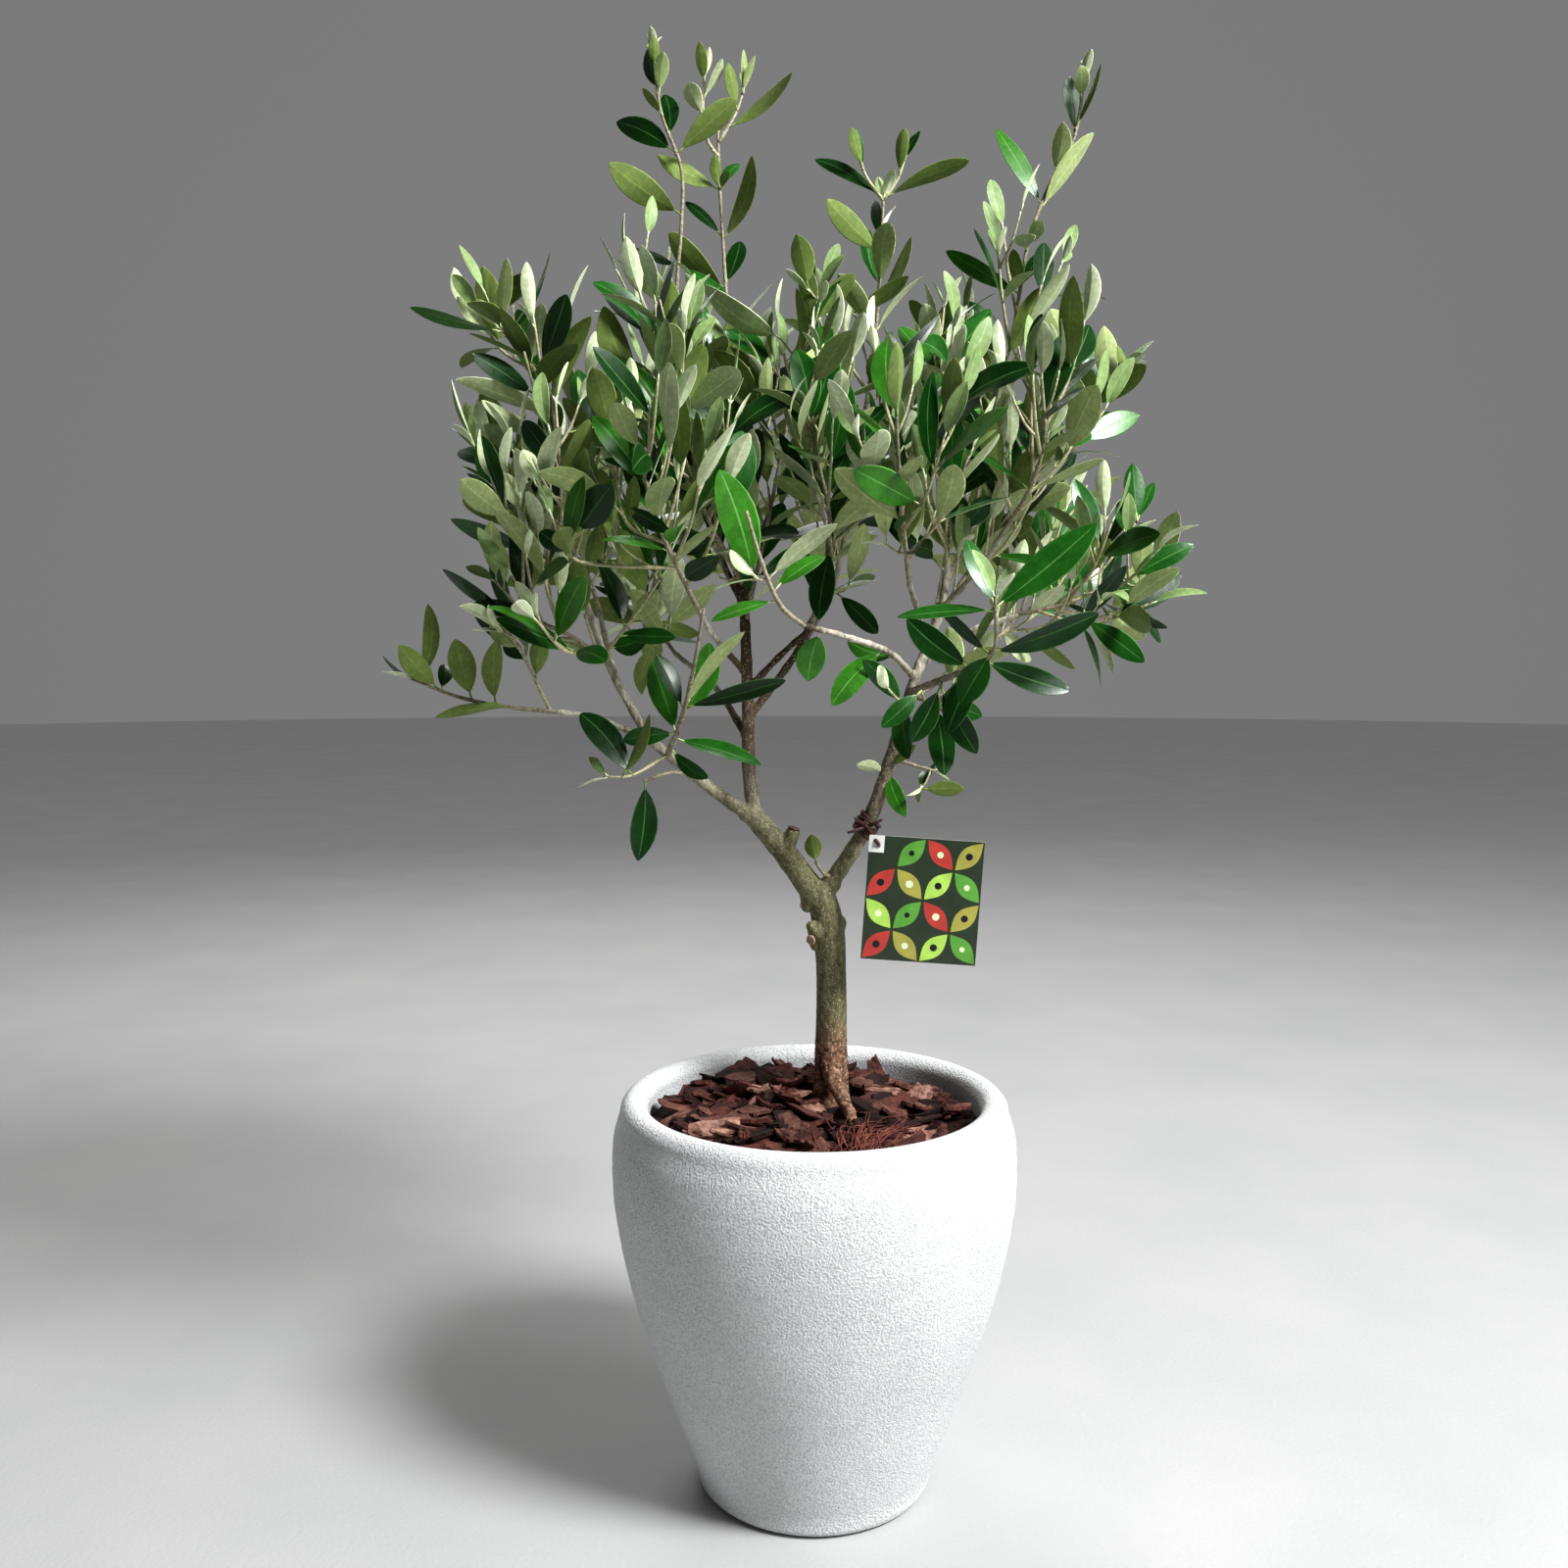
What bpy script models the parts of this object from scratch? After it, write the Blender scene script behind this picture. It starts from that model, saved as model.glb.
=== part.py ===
"""Potted olive tree: a round ceramic pot with soil and bark mulch, a young tree and its tied tag.

Metres, +Z up. The pot stands on Z = 0 with its axis on Z, and its front faces -Y.
"""

import math
import random
from collections import namedtuple

import bmesh
import bpy
from mathutils import Matrix, Vector
from mathutils.bvhtree import BVHTree

MM = 0.001
GAP = 0.3 * MM          # clearance between pieces that touch on the real plant
UP = Vector((0.0, 0.0, 1.0))

# Pot, turned about Z.
POT_RADIUS = 125 * MM
POT_HEIGHT = 248 * MM
FOOT_RADIUS = 66 * MM
FOOT_ROUND = 8 * MM
LIP_RADIUS = 8.5 * MM
LIP_CENTRE = 111.7 * MM
POT_WALL = 9 * MM
POT_FLOOR = 14 * MM
FLOOR_ROUND = 6 * MM
POT_STEPS = 32
PROFILE_STEP = 36 * MM
INNER_POINTS = 3         # points of the swell that the inner wall follows, from the foot up
# Share of the greatest radius at a share of the height, foot to shoulder.
POT_SWELL = ((0.25, 0.741), (0.50, 0.902), (0.72, 0.991), (0.88, 1.0))

# Soil and mulch inside the pot.
SOIL_TOP = 222 * MM
MULCH_EDGE = 235 * MM
MULCH_CROWN = 242 * MM
MULCH_REACH = 99 * MM
CHIP_COUNT = 13
CHIP_INSET = 17 * MM
CHIP_RISE = 2.2 * MM
CHIP_LENGTH = (22 * MM, 36 * MM)
CHIP_WIDTH = (11 * MM, 18 * MM)
CHIP_THICK = (3.0 * MM, 4.6 * MM)
CHIP_TILT = math.radians(16)

# Trunk and surface root: way points of the axis and the radius at each, in mm. The trunk stands
# on the soil.
TRUNK_WAY = ((11, 19, 222.3, 16.5), (11, 19, 236, 12.2), (11, 18, 262, 10.4),
             (11, 15, 316, 9.4), (9, 12, 349, 9.9), (4, 10, 372, 8.8))
SURFACE_ROOT_WAY = ((11, 12, 250, 4.5), (14, 0, 240, 3.6), (20, -12, 228, 2.2))
# Burl, scar and stub on the trunk, and the cut stub on the left limb: place and half sizes.
TRUNK_KNOTS = (((2, 7, 349), (6.5, 6, 7.5)), ((-4, 6, 364), (4.5, 4, 4)), ((17, 13, 352), (3.5, 4.5, 5)))
LEFT_LIMB_KNOTS = (((-17, 3, 404), (5.2, 5.2, 7)), ((-25, 2, 404), (4, 4, 4)))

# Limbs: the limbs they stand clear of, way points of the axis in mm, radius at root and tip in mm.
Limb = namedtuple("Limb", "clear way root tip")
LIMBS = {
    "left_limb": Limb(("trunk",), ((4, 10, 366), (-17, 5, 396), (-41, 0, 425)), 8.4, 6.3),
    "leader": Limb(("left_limb",),
                   ((-35, 1, 416), (-40, 3, 445), (-41, 6, 490), (-43, 13, 545), (-45, 16, 578)), 4.6, 2.7),
    "left_bough": Limb(("left_limb", "leader"), ((-38, 0, 420), (-66, -8, 441), (-104, -20, 473)), 4.3, 2.8),
    "left_upper": Limb(("left_bough",), ((-99, -18, 468), (-124, -16, 515), (-141, -11, 563)), 2.6, 1.9),
    "left_long": Limb(("left_bough", "left_upper"),
                      ((-101, -19, 470), (-130, -27, 482), (-152, -30, 486)), 2.1, 1.6),
    "left_back": Limb(("left_upper",), ((-120, -16, 508), (-130, 22, 530), (-138, 56, 550)), 2.0, 1.6),
    "left_front": Limb(("left_bough",), ((-82, -13, 454), (-86, -38, 462), (-80, -58, 474)), 2.3, 1.7),
    "leader_low_front": Limb(("leader",), ((-42, 9, 508), (-60, -26, 530), (-68, -44, 545)), 2.2, 1.7),
    "leader_left": Limb(("leader",), ((-43, 13, 548), (-60, 14, 584), (-69, 15, 612)), 2.2, 1.7),
    "leader_right": Limb(("leader",), ((-42, 7, 497), (-22, 2, 518), (-2, -8, 536)), 2.2, 1.7),
    "leader_tall": Limb(("leader",), ((-41, 5, 480), (-10, 20, 522), (10, 26, 558), (17, 28, 582)), 2.6, 1.8),
    "leader_back": Limb(("leader",), ((-43, 12, 536), (-48, 46, 564), (-53, 76, 588)), 2.2, 1.7),
    "leader_low_back": Limb(("leader",), ((-41, 5, 468), (-62, 44, 498), (-90, 74, 520)), 2.4, 1.7),
    "middle_back": Limb(("leader_tall",), ((-12, 19, 519), (-2, 54, 540), (8, 84, 558)), 2.0, 1.6),
    "right_bough": Limb(("trunk", "left_limb"),
                        ((8, 11, 374), (33, 6, 416), (48, 0, 462), (61, -4, 507), (76, 3, 545), (81, 9, 578)),
                        5.4, 2.0),
    "right_front": Limb(("right_bough",), ((58, -3, 497), (76, -48, 512), (91, -98, 521)), 2.3, 1.8),
    "front_long": Limb(("right_bough",),
                       ((60, -4, 506), (42, -34, 521), (14, -66, 530), (-8, -92, 535)), 2.1, 1.6),
    "right_low": Limb(("right_bough",), ((64, -3, 514), (92, -12, 533), (120, -18, 543)), 2.2, 1.7),
    "right_low_back": Limb(("right_bough",), ((57, -3, 491), (84, 30, 508), (108, 58, 520)), 2.3, 1.7),
    "right_back": Limb(("right_bough",), ((70, 0, 529), (78, 34, 552), (84, 62, 572)), 2.1, 1.6),
    "right_middle": Limb(("right_bough",), ((67, -2, 521), (60, -26, 544), (53, -46, 560)), 2.0, 1.6),
    "right_tall": Limb(("right_bough",), ((79, 6, 560), (92, 14, 588), (99, 18, 612)), 2.0, 1.7),
    "right_high_front": Limb(("right_bough",), ((76, 3, 546), (96, -24, 570), (106, -44, 588)), 2.0, 1.6),
}
LIMB_STEP = 26 * MM
LIMB_SIDES = 6
STOUT_RADIUS = 4         # a limb thicker than this at its root, in mm, has more sides
STOUT_SIDES = 10
TRUNK_SIDES = 14
TWIG_SIDES = 3
TWIG_STEP = 32 * MM
FINE_STEP = 9 * MM

# Leaf masses: the limb they grow from, the share of its length where they leave it, way points of
# the stem in mm, number and length in mm of side shoots, share of the stem up to which they grow,
# leaf length and distance between pairs in mm, and how wide the first pair opens in degrees.
Mass = namedtuple("Mass", "limb at way shoots spread crown leaf internode angle")
MASSES = {
    "leaves_far_left": Mass("left_long", 1, ((-200, -32, 492), (-238, -34, 506)), 3, 54, 0.7, 42, 22, 54),
    "leaves_left_low": Mass("left_upper", 0.5, ((-158, -36, 534), (-198, -48, 566)), 4, 62, 0.8, 46, 20, 54),
    "leaves_left_middle": Mass("left_upper", 0.8, ((-168, -2, 584), (-196, 4, 644)), 4, 64, 0.8, 46, 20, 54),
    "leaves_left_top": Mass("left_upper", 1, ((-154, -6, 640), (-163, -4, 684), (-198, 0, 722)),
                            5, 60, 0.8, 46, 23, 60),
    "leaves_left_back": Mass("left_back", 1, ((-156, 88, 598), (-168, 106, 660)), 4, 66, 0.8, 48, 23, 56),
    "leaves_front_left": Mass("left_front", 1, ((-70, -82, 504), (-62, -98, 544)), 3, 54, 0.7, 46, 20, 68),
    "leaves_front_left_high": Mass("leader_low_front", 1, ((-88, -84, 592), (-100, -104, 646)),
                                   4, 66, 0.8, 47, 20, 54),
    "leaves_centre_left": Mass("leader", 0.9, ((-72, -38, 620), (-98, -54, 716)), 4, 64, 0.8, 47, 21, 54),
    "leaves_tall_left": Mass("leader_left", 1, ((-84, 19, 714), (-80, 20, 806), (-90, 20, 857)),
                             3, 62, 0.36, 44, 31, 50),
    "leaves_tall_middle": Mass("leader", 1, ((-52, 25, 702), (-58, 30, 804), (-56, 30, 860)),
                               3, 64, 0.36, 44, 31, 50),
    "leaves_centre_top": Mass("leader", 0.75, ((-24, -6, 620), (-10, -6, 690), (4, -4, 734)),
                              3, 58, 0.8, 45, 21, 54),
    "leaves_centre_front": Mass("leader_right", 1, ((8, -30, 600), (-6, -42, 654), (2, -46, 690)),
                                4, 60, 0.8, 46, 21, 54),
    "leaves_tall_right": Mass("leader_tall", 1, ((36, 30, 702), (42, 30, 774), (50, 30, 810)),
                              4, 62, 0.5, 44, 27, 50),
    "leaves_back_centre": Mass("leader_back", 1, ((-64, 122, 648), (-60, 138, 712)), 4, 66, 0.8, 48, 24, 56),
    "leaves_back_left": Mass("leader_low_back", 1, ((-118, 122, 558), (-134, 148, 604)),
                             4, 70, 0.8, 47, 21, 54),
    "leaves_back_middle": Mass("middle_back", 1, ((18, 138, 604), (22, 166, 656)), 4, 68, 0.8, 48, 23, 56),
    "leaves_right_centre": Mass("right_bough", 1, ((80, 4, 640), (70, -10, 704)), 4, 58, 0.8, 46, 21, 54),
    "leaves_front_right": Mass("right_front", 1, ((93, -120, 537), (94, -130, 576)), 2, 44, 0.6, 60, 19, 78),
    "leaves_front": Mass("front_long", 1, ((-24, -118, 550), (-38, -136, 592)), 3, 54, 0.7, 52, 21, 66),
    "leaves_right_low": Mass("right_low", 1, ((152, -22, 551), (180, -20, 564)), 4, 66, 0.85, 44, 20, 54),
    "leaves_under_right": Mass("right_bough", 0.6, ((66, -26, 492), (78, -52, 484)), 2, 40, 0.7, 44, 20, 66),
    "leaves_back_low": Mass("right_low_back", 1, ((142, 102, 550), (156, 122, 596)), 4, 70, 0.8, 47, 21, 54),
    "leaves_back_right": Mass("right_back", 1, ((96, 110, 624), (104, 132, 682)), 4, 68, 0.8, 48, 23, 56),
    "leaves_front_centre": Mass("right_middle", 1, ((44, -84, 612), (40, -104, 664)), 4, 64, 0.8, 47, 20, 54),
    "leaves_right_top": Mass("right_bough", 0.84, ((120, 4, 608), (156, 2, 654), (180, -2, 682)),
                             4, 62, 0.85, 46, 20, 54),
    "leaves_tall_far_right": Mass("right_tall", 1, ((124, 30, 714), (140, 30, 794), (155, 30, 846)),
                                  4, 60, 0.5, 44, 27, 50),
    "leaves_front_far_right": Mass("right_high_front", 1, ((122, -78, 624), (118, -98, 664)),
                                   4, 62, 0.8, 47, 21, 54),
    "leaves_right_sprig": Mass("right_bough", 0.42, ((62, -4, 452), (74, -8, 449)), 0, 0, 0, 30, 12, 60),
    "leaf_hanging": Mass("left_bough", 0.5, ((-90, -32, 452), (-91, -37, 437)), 0, 0, 0, 76, 60, 60),
    "leaf_at_fork": Mass("right_bough", 0.04, ((5, 3, 385), (1, 2, 392)), 0, 0, 0, 32, 60, 40),
}
ONE_LEAF = ("leaf_hanging", "leaf_at_fork")
SEED = 41
STEM_RADIUS = (1.45 * MM, 1.15 * MM)
SEAT_STEP = 0.1 * MM     # how finely a stem's foot is seated on its limb
SHOOT_RADIUS = (1.25 * MM, 1.05 * MM)
SHOOT_ANGLE = math.radians(50)
SHOOT_TURNS = tuple(math.radians(turn) for turn in (0, 75, -75, 150, -150))
SHOOT_LIFT = 1.1         # how far a side shoot turns up over its length
SHOOT_TWIST = math.radians(137.5)   # from one side shoot's bearing to the next one's
FIRST_SHOOT = 0.08       # share of a stem where side shoots begin
FIRST_PAIR = 14 * MM     # from the foot of a stem or shoot to its first pair of leaves
LEAF_WIDTH = 0.46        # breadth of a leaf's solid over its length
LEAF_KEEL = 1.0 * MM       # depth of a leaf's keel below its mid-line; its sides rise half of that
LEAF_ANGLE_LAST = math.radians(30)
LEAF_LIFT = 0.12         # how far a leaf turns up from its angle with the shoot
LIGHT_SHARE = 0.8        # how far a leaf on a level shoot turns its face to the sky
ROOT_SINK = 0.3 * MM      # how far a leaf's root lies behind its twig's axis
TIP_ANGLE = math.radians(7)
TIP_LEAF = 0.66          # length of the leaf at a shoot's tip over the full length
FOLD_TRIES = (1.0, 0.62, 0.34)
ROOT_SHARE = 0.16        # share of a leaf or shoot that may lie near its own twig
CLEAR = 0.5 * MM
STEM_SKIP = 2 * MM       # length at a stem's foot that its limb may be near
SHOOT_SKIP = 5 * MM      # length at a shoot's foot that its stem may be near
SHORTEST_SHOOT = 24 * MM

# Tie and tag.
TIE_LIMB_SHARE = 0.215
TIE_WIRE = 1.1 * MM
TIE_TURNS = 3
TIE_PITCH = 2.9 * MM
TIE_STEPS = 8           # points in one turn
TAG_SIZE = (70 * MM, 76 * MM)
TAG_THICK = 0.6 * MM
TAG_CORNER = Vector((33, -12, 411)) * MM
TAG_LEAN = math.radians(3.9)
TAG_HOLE = Vector((5.0, 0.0, -6.0)) * MM
TAG_HOLE_RADIUS = 2.2 * MM

WHITE_GLAZE = ((0.78, 0.78, 0.75), 0.62)
DARK_SOIL = ((0.05, 0.033, 0.022), 0.95)
BARK_CHIPS = ((0.16, 0.062, 0.038), 0.9)
TRUNK_BARK = ((0.20, 0.17, 0.10), 0.85)
BOUGH_BARK = ((0.24, 0.21, 0.15), 0.8)
LEAF_GREEN = ((0.07, 0.13, 0.045), 0.42)
TAG_PRINT = ((0.30, 0.36, 0.12), 0.4)
TIE_BROWN = ((0.07, 0.02, 0.015), 0.6)


def clear_scene():
    for item in list(bpy.data.objects):
        bpy.data.objects.remove(item, do_unlink=True)


def new_collection(name):
    group = bpy.data.collections.new(name)
    bpy.context.scene.collection.children.link(group)
    return group


def material(name, look):
    colour, roughness = look
    made = bpy.data.materials.new(name)
    made.use_nodes = True
    shader = made.node_tree.nodes["Principled BSDF"]
    shader.inputs["Base Color"].default_value = (*colour, 1.0)
    shader.inputs["Roughness"].default_value = roughness
    shader.inputs["Metallic"].default_value = 0.0
    return made


def place_mesh(mesh, name, group, look=None, smooth=False):
    item = bpy.data.objects.new(name, mesh)
    group.objects.link(item)
    if look is not None:
        mesh.materials.append(look)
    for face in mesh.polygons:
        face.use_smooth = smooth
    return item


def bmesh_to_mesh(bm, name):
    bmesh.ops.recalc_face_normals(bm, faces=bm.faces)
    mesh = bpy.data.meshes.new(name)
    bm.to_mesh(mesh)
    bm.free()
    return mesh


def evaluated_mesh(item):
    bpy.context.view_layer.update()
    graph = bpy.context.evaluated_depsgraph_get()
    return bpy.data.meshes.new_from_object(item.evaluated_get(graph))


def to_metres(points):
    return [Vector(point) * MM for point in points]


def smooth_path(way, step):
    """Points about a step apart on a Catmull-Rom curve through the way points."""
    ends = [2 * way[0] - way[1], *way, 2 * way[-1] - way[-2]]
    path = [way[0].copy()]
    for a, b, c, d in zip(ends, ends[1:], ends[2:], ends[3:]):
        count = max(1, round((c - b).length / step))
        for k in range(1, count + 1):
            t = k / count
            path.append(0.5 * (2 * b + (c - a) * t + (2 * a - 5 * b + 4 * c - d) * t**2
                               + (3 * b - a - 3 * c + d) * t**3))
    return path


def path_lengths(path):
    lengths = [0.0]
    for a, b in zip(path, path[1:]):
        lengths.append(lengths[-1] + (b - a).length)
    return lengths


def point_at(path, distance):
    """Point and direction at a distance along a path."""
    lengths = path_lengths(path)
    for k in range(1, len(path)):
        if distance <= lengths[k] or k == len(path) - 1:
            span = lengths[k] - lengths[k - 1]
            share = min(1.0, max(0.0, (distance - lengths[k - 1]) / span))
            return path[k - 1].lerp(path[k], share), (path[k] - path[k - 1]).normalized()


def taper(path, root, tip):
    lengths = path_lengths(path)
    return [root + (tip - root) * length / lengths[-1] for length in lengths]


def section_outline(sides, group):
    """Unit polygon that a tube takes as its section, made once for each number of sides."""
    name = f"section_{sides}"
    if name in group.objects:
        return group.objects[name]
    curve = bpy.data.curves.new(name, "CURVE")
    curve.dimensions = "2D"
    spline = curve.splines.new("POLY")
    spline.points.add(sides - 1)
    for k, knot in enumerate(spline.points):
        angle = math.tau * k / sides
        knot.co = (math.cos(angle), math.sin(angle), 0.0, 1.0)
    spline.use_cyclic_u = True
    item = bpy.data.objects.new(name, curve)
    group.objects.link(item)
    return item


def tube_mesh(name, path, radii, sides):
    """Closed tube along a path, with a polygon of some sides as its section."""
    curve = bpy.data.curves.new(name, "CURVE")
    curve.dimensions = "3D"
    curve.use_fill_caps = True
    curve.bevel_mode = "OBJECT"
    curve.bevel_object = section_outline(sides, bpy.data.collections["cutters"])
    spline = curve.splines.new("POLY")
    spline.points.add(len(path) - 1)
    for knot, place, radius in zip(spline.points, path, radii):
        knot.co = (*place, 1.0)
        knot.radius = radius
    item = bpy.data.objects.new(name, curve)
    bpy.context.scene.collection.objects.link(item)
    mesh = evaluated_mesh(item)
    bpy.data.objects.remove(item, do_unlink=True)
    bpy.data.curves.remove(curve)
    bm = bmesh.new()
    bm.from_mesh(mesh)
    bpy.data.meshes.remove(mesh)
    bmesh.ops.remove_doubles(bm, verts=bm.verts, dist=0.01 * MM)
    return bmesh_to_mesh(bm, name)


def turned(name, profile, group, look):
    """Solid turned about Z from a profile of (radius, height) that runs down its outer side."""
    mesh = bpy.data.meshes.new(name)
    points = [(radius, 0.0, height) for radius, height in profile]
    mesh.from_pydata(points, [(k, k + 1) for k in range(len(points) - 1)], [])
    item = place_mesh(mesh, name, group, look)
    screw = item.modifiers.new("turn", "SCREW")
    screw.axis = "Z"
    screw.steps = POT_STEPS
    screw.render_steps = POT_STEPS
    screw.use_merge_vertices = True
    screw.merge_threshold = 0.01 * MM
    screw.use_smooth_shade = True
    return item


def boolean(item, operation, cutter=None, group=None, solver="EXACT"):
    join = item.modifiers.new(operation.lower(), "BOOLEAN")
    join.operation = operation
    join.solver = solver
    if group is None:
        join.object = cutter
    else:
        join.operand_type = "COLLECTION"
        join.collection = group


def apply_modifiers(item):
    mesh = evaluated_mesh(item)
    old = item.data
    item.modifiers.clear()
    item.data = mesh
    bpy.data.meshes.remove(old)
    mesh.name = item.name


def join_collection(item, group):
    """Fuses every object of a collection into the item and removes them."""
    if not group.objects:
        raise RuntimeError(f"nothing to fuse into {item.name}")
    boolean(item, "UNION", group=group, solver="MANIFOLD")
    apply_modifiers(item)
    for piece in list(group.objects):
        bpy.data.objects.remove(piece, do_unlink=True)
    bpy.data.collections.remove(group)


# ---------------------------------------------------------------- pot, soil and mulch

def swell():
    """Points that the outer wall runs through between foot and shoulder, as (radius, height)."""
    return [(share * POT_RADIUS, rise * POT_HEIGHT) for rise, share in POT_SWELL]


def outer_wall():
    """Outer wall from the lip's side down to the foot, as (radius, height)."""
    shoulder = (LIP_CENTRE + LIP_RADIUS, POT_HEIGHT - LIP_RADIUS)
    foot = (FOOT_RADIUS + FOOT_ROUND, FOOT_ROUND * 1.25)
    way = [Vector((radius, height, 0.0)) for radius, height in (foot, *swell(), shoulder)]
    return [(point.x, point.y) for point in reversed(smooth_path(way, PROFILE_STEP))]


def inner_wall():
    """Inner wall from just under the lip down to the round at the floor."""
    under_lip = (LIP_CENTRE - LIP_RADIUS, POT_HEIGHT - LIP_RADIUS)
    wall = [(radius - POT_WALL, height) for radius, height in reversed(swell()[:INNER_POINTS])]
    low = (FOOT_RADIUS + FOOT_ROUND - POT_WALL + 2 * MM, POT_FLOOR + FLOOR_ROUND)
    return [under_lip, *wall, low]


def arc(centre, radius, start, end, count):
    spots = []
    for k in range(count + 1):
        angle = start + (end - start) * k / count
        spots.append((centre[0] + radius * math.cos(angle), centre[1] + radius * math.sin(angle)))
    return spots


def build_pot(group, look):
    lip = arc((LIP_CENTRE, POT_HEIGHT - LIP_RADIUS), LIP_RADIUS, math.pi, 0.0, 4)
    foot_edge = arc((FOOT_RADIUS, FOOT_ROUND), FOOT_ROUND, 0.0, -math.pi / 2, 2)
    inside = list(reversed(inner_wall()))
    floor_corner = (inside[0][0] - FLOOR_ROUND, POT_FLOOR)
    outside = [*outer_wall()[1:-1], *foot_edge]
    profile = [(0.0, POT_FLOOR), floor_corner, *inside[:-1], *lip, *outside, (0.0, 0.0)]
    return turned("pot", profile, group, look)


def wall_radius(height):
    """Radius of the pot's inside at a height."""
    wall = inner_wall()
    for (r1, z1), (r2, z2) in zip(wall, wall[1:]):
        if z2 <= height <= z1:
            return r2 + (r1 - r2) * (height - z2) / (z1 - z2)
    return wall[-1][0]


def build_soil(group, look):
    slack = GAP * 1.4
    side = [(radius - slack, height) for radius, height in inner_wall() if height < SOIL_TOP - 5 * MM]
    top = (wall_radius(SOIL_TOP) - slack, SOIL_TOP)
    bottom = (side[-1][0] - FLOOR_ROUND, POT_FLOOR + GAP)
    profile = [(0.0, SOIL_TOP), top, *side, bottom, (0.0, POT_FLOOR + GAP)]
    return turned("soil", profile, group, look)


def mound_height(radius):
    return MULCH_EDGE + (MULCH_CROWN - MULCH_EDGE) * math.cos(0.5 * math.pi * radius / MULCH_REACH)


def build_mulch(group, look):
    slack = GAP * 1.6
    rings = [MULCH_REACH * share for share in (0.0, 0.6, 1.0)]
    rim = (wall_radius(MULCH_EDGE) - slack, MULCH_EDGE)
    bottom = SOIL_TOP + GAP
    profile = [(radius, mound_height(radius)) for radius in rings]
    profile += [rim, (wall_radius(bottom) - slack, bottom), (0.0, bottom)]
    mulch = turned("bark_mulch", profile, group, look)
    apply_modifiers(mulch)
    chips = new_collection("chips")
    rng = random.Random(SEED)
    for k in range(CHIP_COUNT):
        radius = (MULCH_REACH - CHIP_INSET) * math.sqrt((k + 0.5) / CHIP_COUNT)
        bearing = k * math.pi * (3 - math.sqrt(5))
        size = Vector((rng.uniform(*CHIP_LENGTH), rng.uniform(*CHIP_WIDTH), rng.uniform(*CHIP_THICK)))
        place = Vector((radius * math.cos(bearing), radius * math.sin(bearing), 0.0))
        place.z = mound_height(radius) + rng.uniform(0.0, CHIP_RISE)
        turn = (Matrix.Rotation(rng.uniform(0, math.tau), 4, "Z")
                @ Matrix.Rotation(rng.uniform(-CHIP_TILT, CHIP_TILT), 4, "Y")
                @ Matrix.Rotation(rng.uniform(-CHIP_TILT, CHIP_TILT), 4, "X"))
        shape = Matrix.Translation(place) @ turn @ Matrix.Diagonal(size).to_4x4()
        bm = bmesh.new()
        bmesh.ops.create_cube(bm, size=1.0, matrix=shape)
        place_mesh(bmesh_to_mesh(bm, "chip"), "chip", chips)
    join_collection(mulch, chips)
    keep_largest_shell(mulch)
    return mulch


# ---------------------------------------------------------------- trunk and limbs

def knob_mesh(place, half_sizes):
    bm = bmesh.new()
    shape = Matrix.Translation(Vector(place) * MM) @ Matrix.Diagonal(Vector(half_sizes) * MM).to_4x4()
    bmesh.ops.create_uvsphere(bm, u_segments=8, v_segments=5, radius=1.0, matrix=shape)
    return bmesh_to_mesh(bm, "knob")


def knobs(places, extra=0.0):
    """Collection of knobs, each grown by an extra on all sides."""
    lumps = new_collection("lumps")
    for place, half_sizes in places:
        grown = [size + extra / MM for size in half_sizes]
        place_mesh(knob_mesh(place, grown), "knob", lumps)
    return lumps


def swelling_tube(name, way, step, sides, extra=0.0):
    """Tube through way points that each give a radius as well."""
    path = smooth_path(to_metres(way), step)
    return tube_mesh(name, [knot.to_3d() for knot in path], [knot.w + extra for knot in path], sides)


def build_trunk(group, look, name="trunk", extra=0.0):
    mesh = swelling_tube(name, TRUNK_WAY, LIMB_STEP, TRUNK_SIDES, extra)
    trunk = place_mesh(mesh, name, group, look, smooth=True)
    lumps = knobs(TRUNK_KNOTS, extra)
    root = swelling_tube("root", SURFACE_ROOT_WAY, LIMB_STEP / 2, LIMB_SIDES, extra)
    place_mesh(root, "root", lumps)
    join_collection(trunk, lumps)
    return trunk


def limb_path(name):
    return smooth_path(to_metres(LIMBS[name].way), LIMB_STEP)


def limb_object(name, item_name, group, look=None, extra=0.0):
    limb = LIMBS[name]
    path = limb_path(name)
    radii = [radius + extra for radius in taper(path, limb.root * MM, limb.tip * MM)]
    sides = STOUT_SIDES if limb.root > STOUT_RADIUS else LIMB_SIDES
    item = place_mesh(tube_mesh(item_name, path, radii, sides), item_name, group, look, smooth=True)
    if name == "left_limb":
        join_collection(item, knobs(LEFT_LIMB_KNOTS, extra))
    return item


def build_limbs(group, cutters, look):
    """Each limb starts inside what carries it and is cut back to the clearance."""
    for name, limb in LIMBS.items():
        limb_object(name, f"clearance_{name}", cutters, extra=GAP)
        item = limb_object(name, name, group, look)
        for other in limb.clear:
            boolean(item, "DIFFERENCE", cutters.objects[f"clearance_{other}"])
        apply_modifiers(item)
        keep_largest_shell(item)


# ---------------------------------------------------------------- leaf masses

Leaf = namedtuple("Leaf", "root direction face length")


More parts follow.
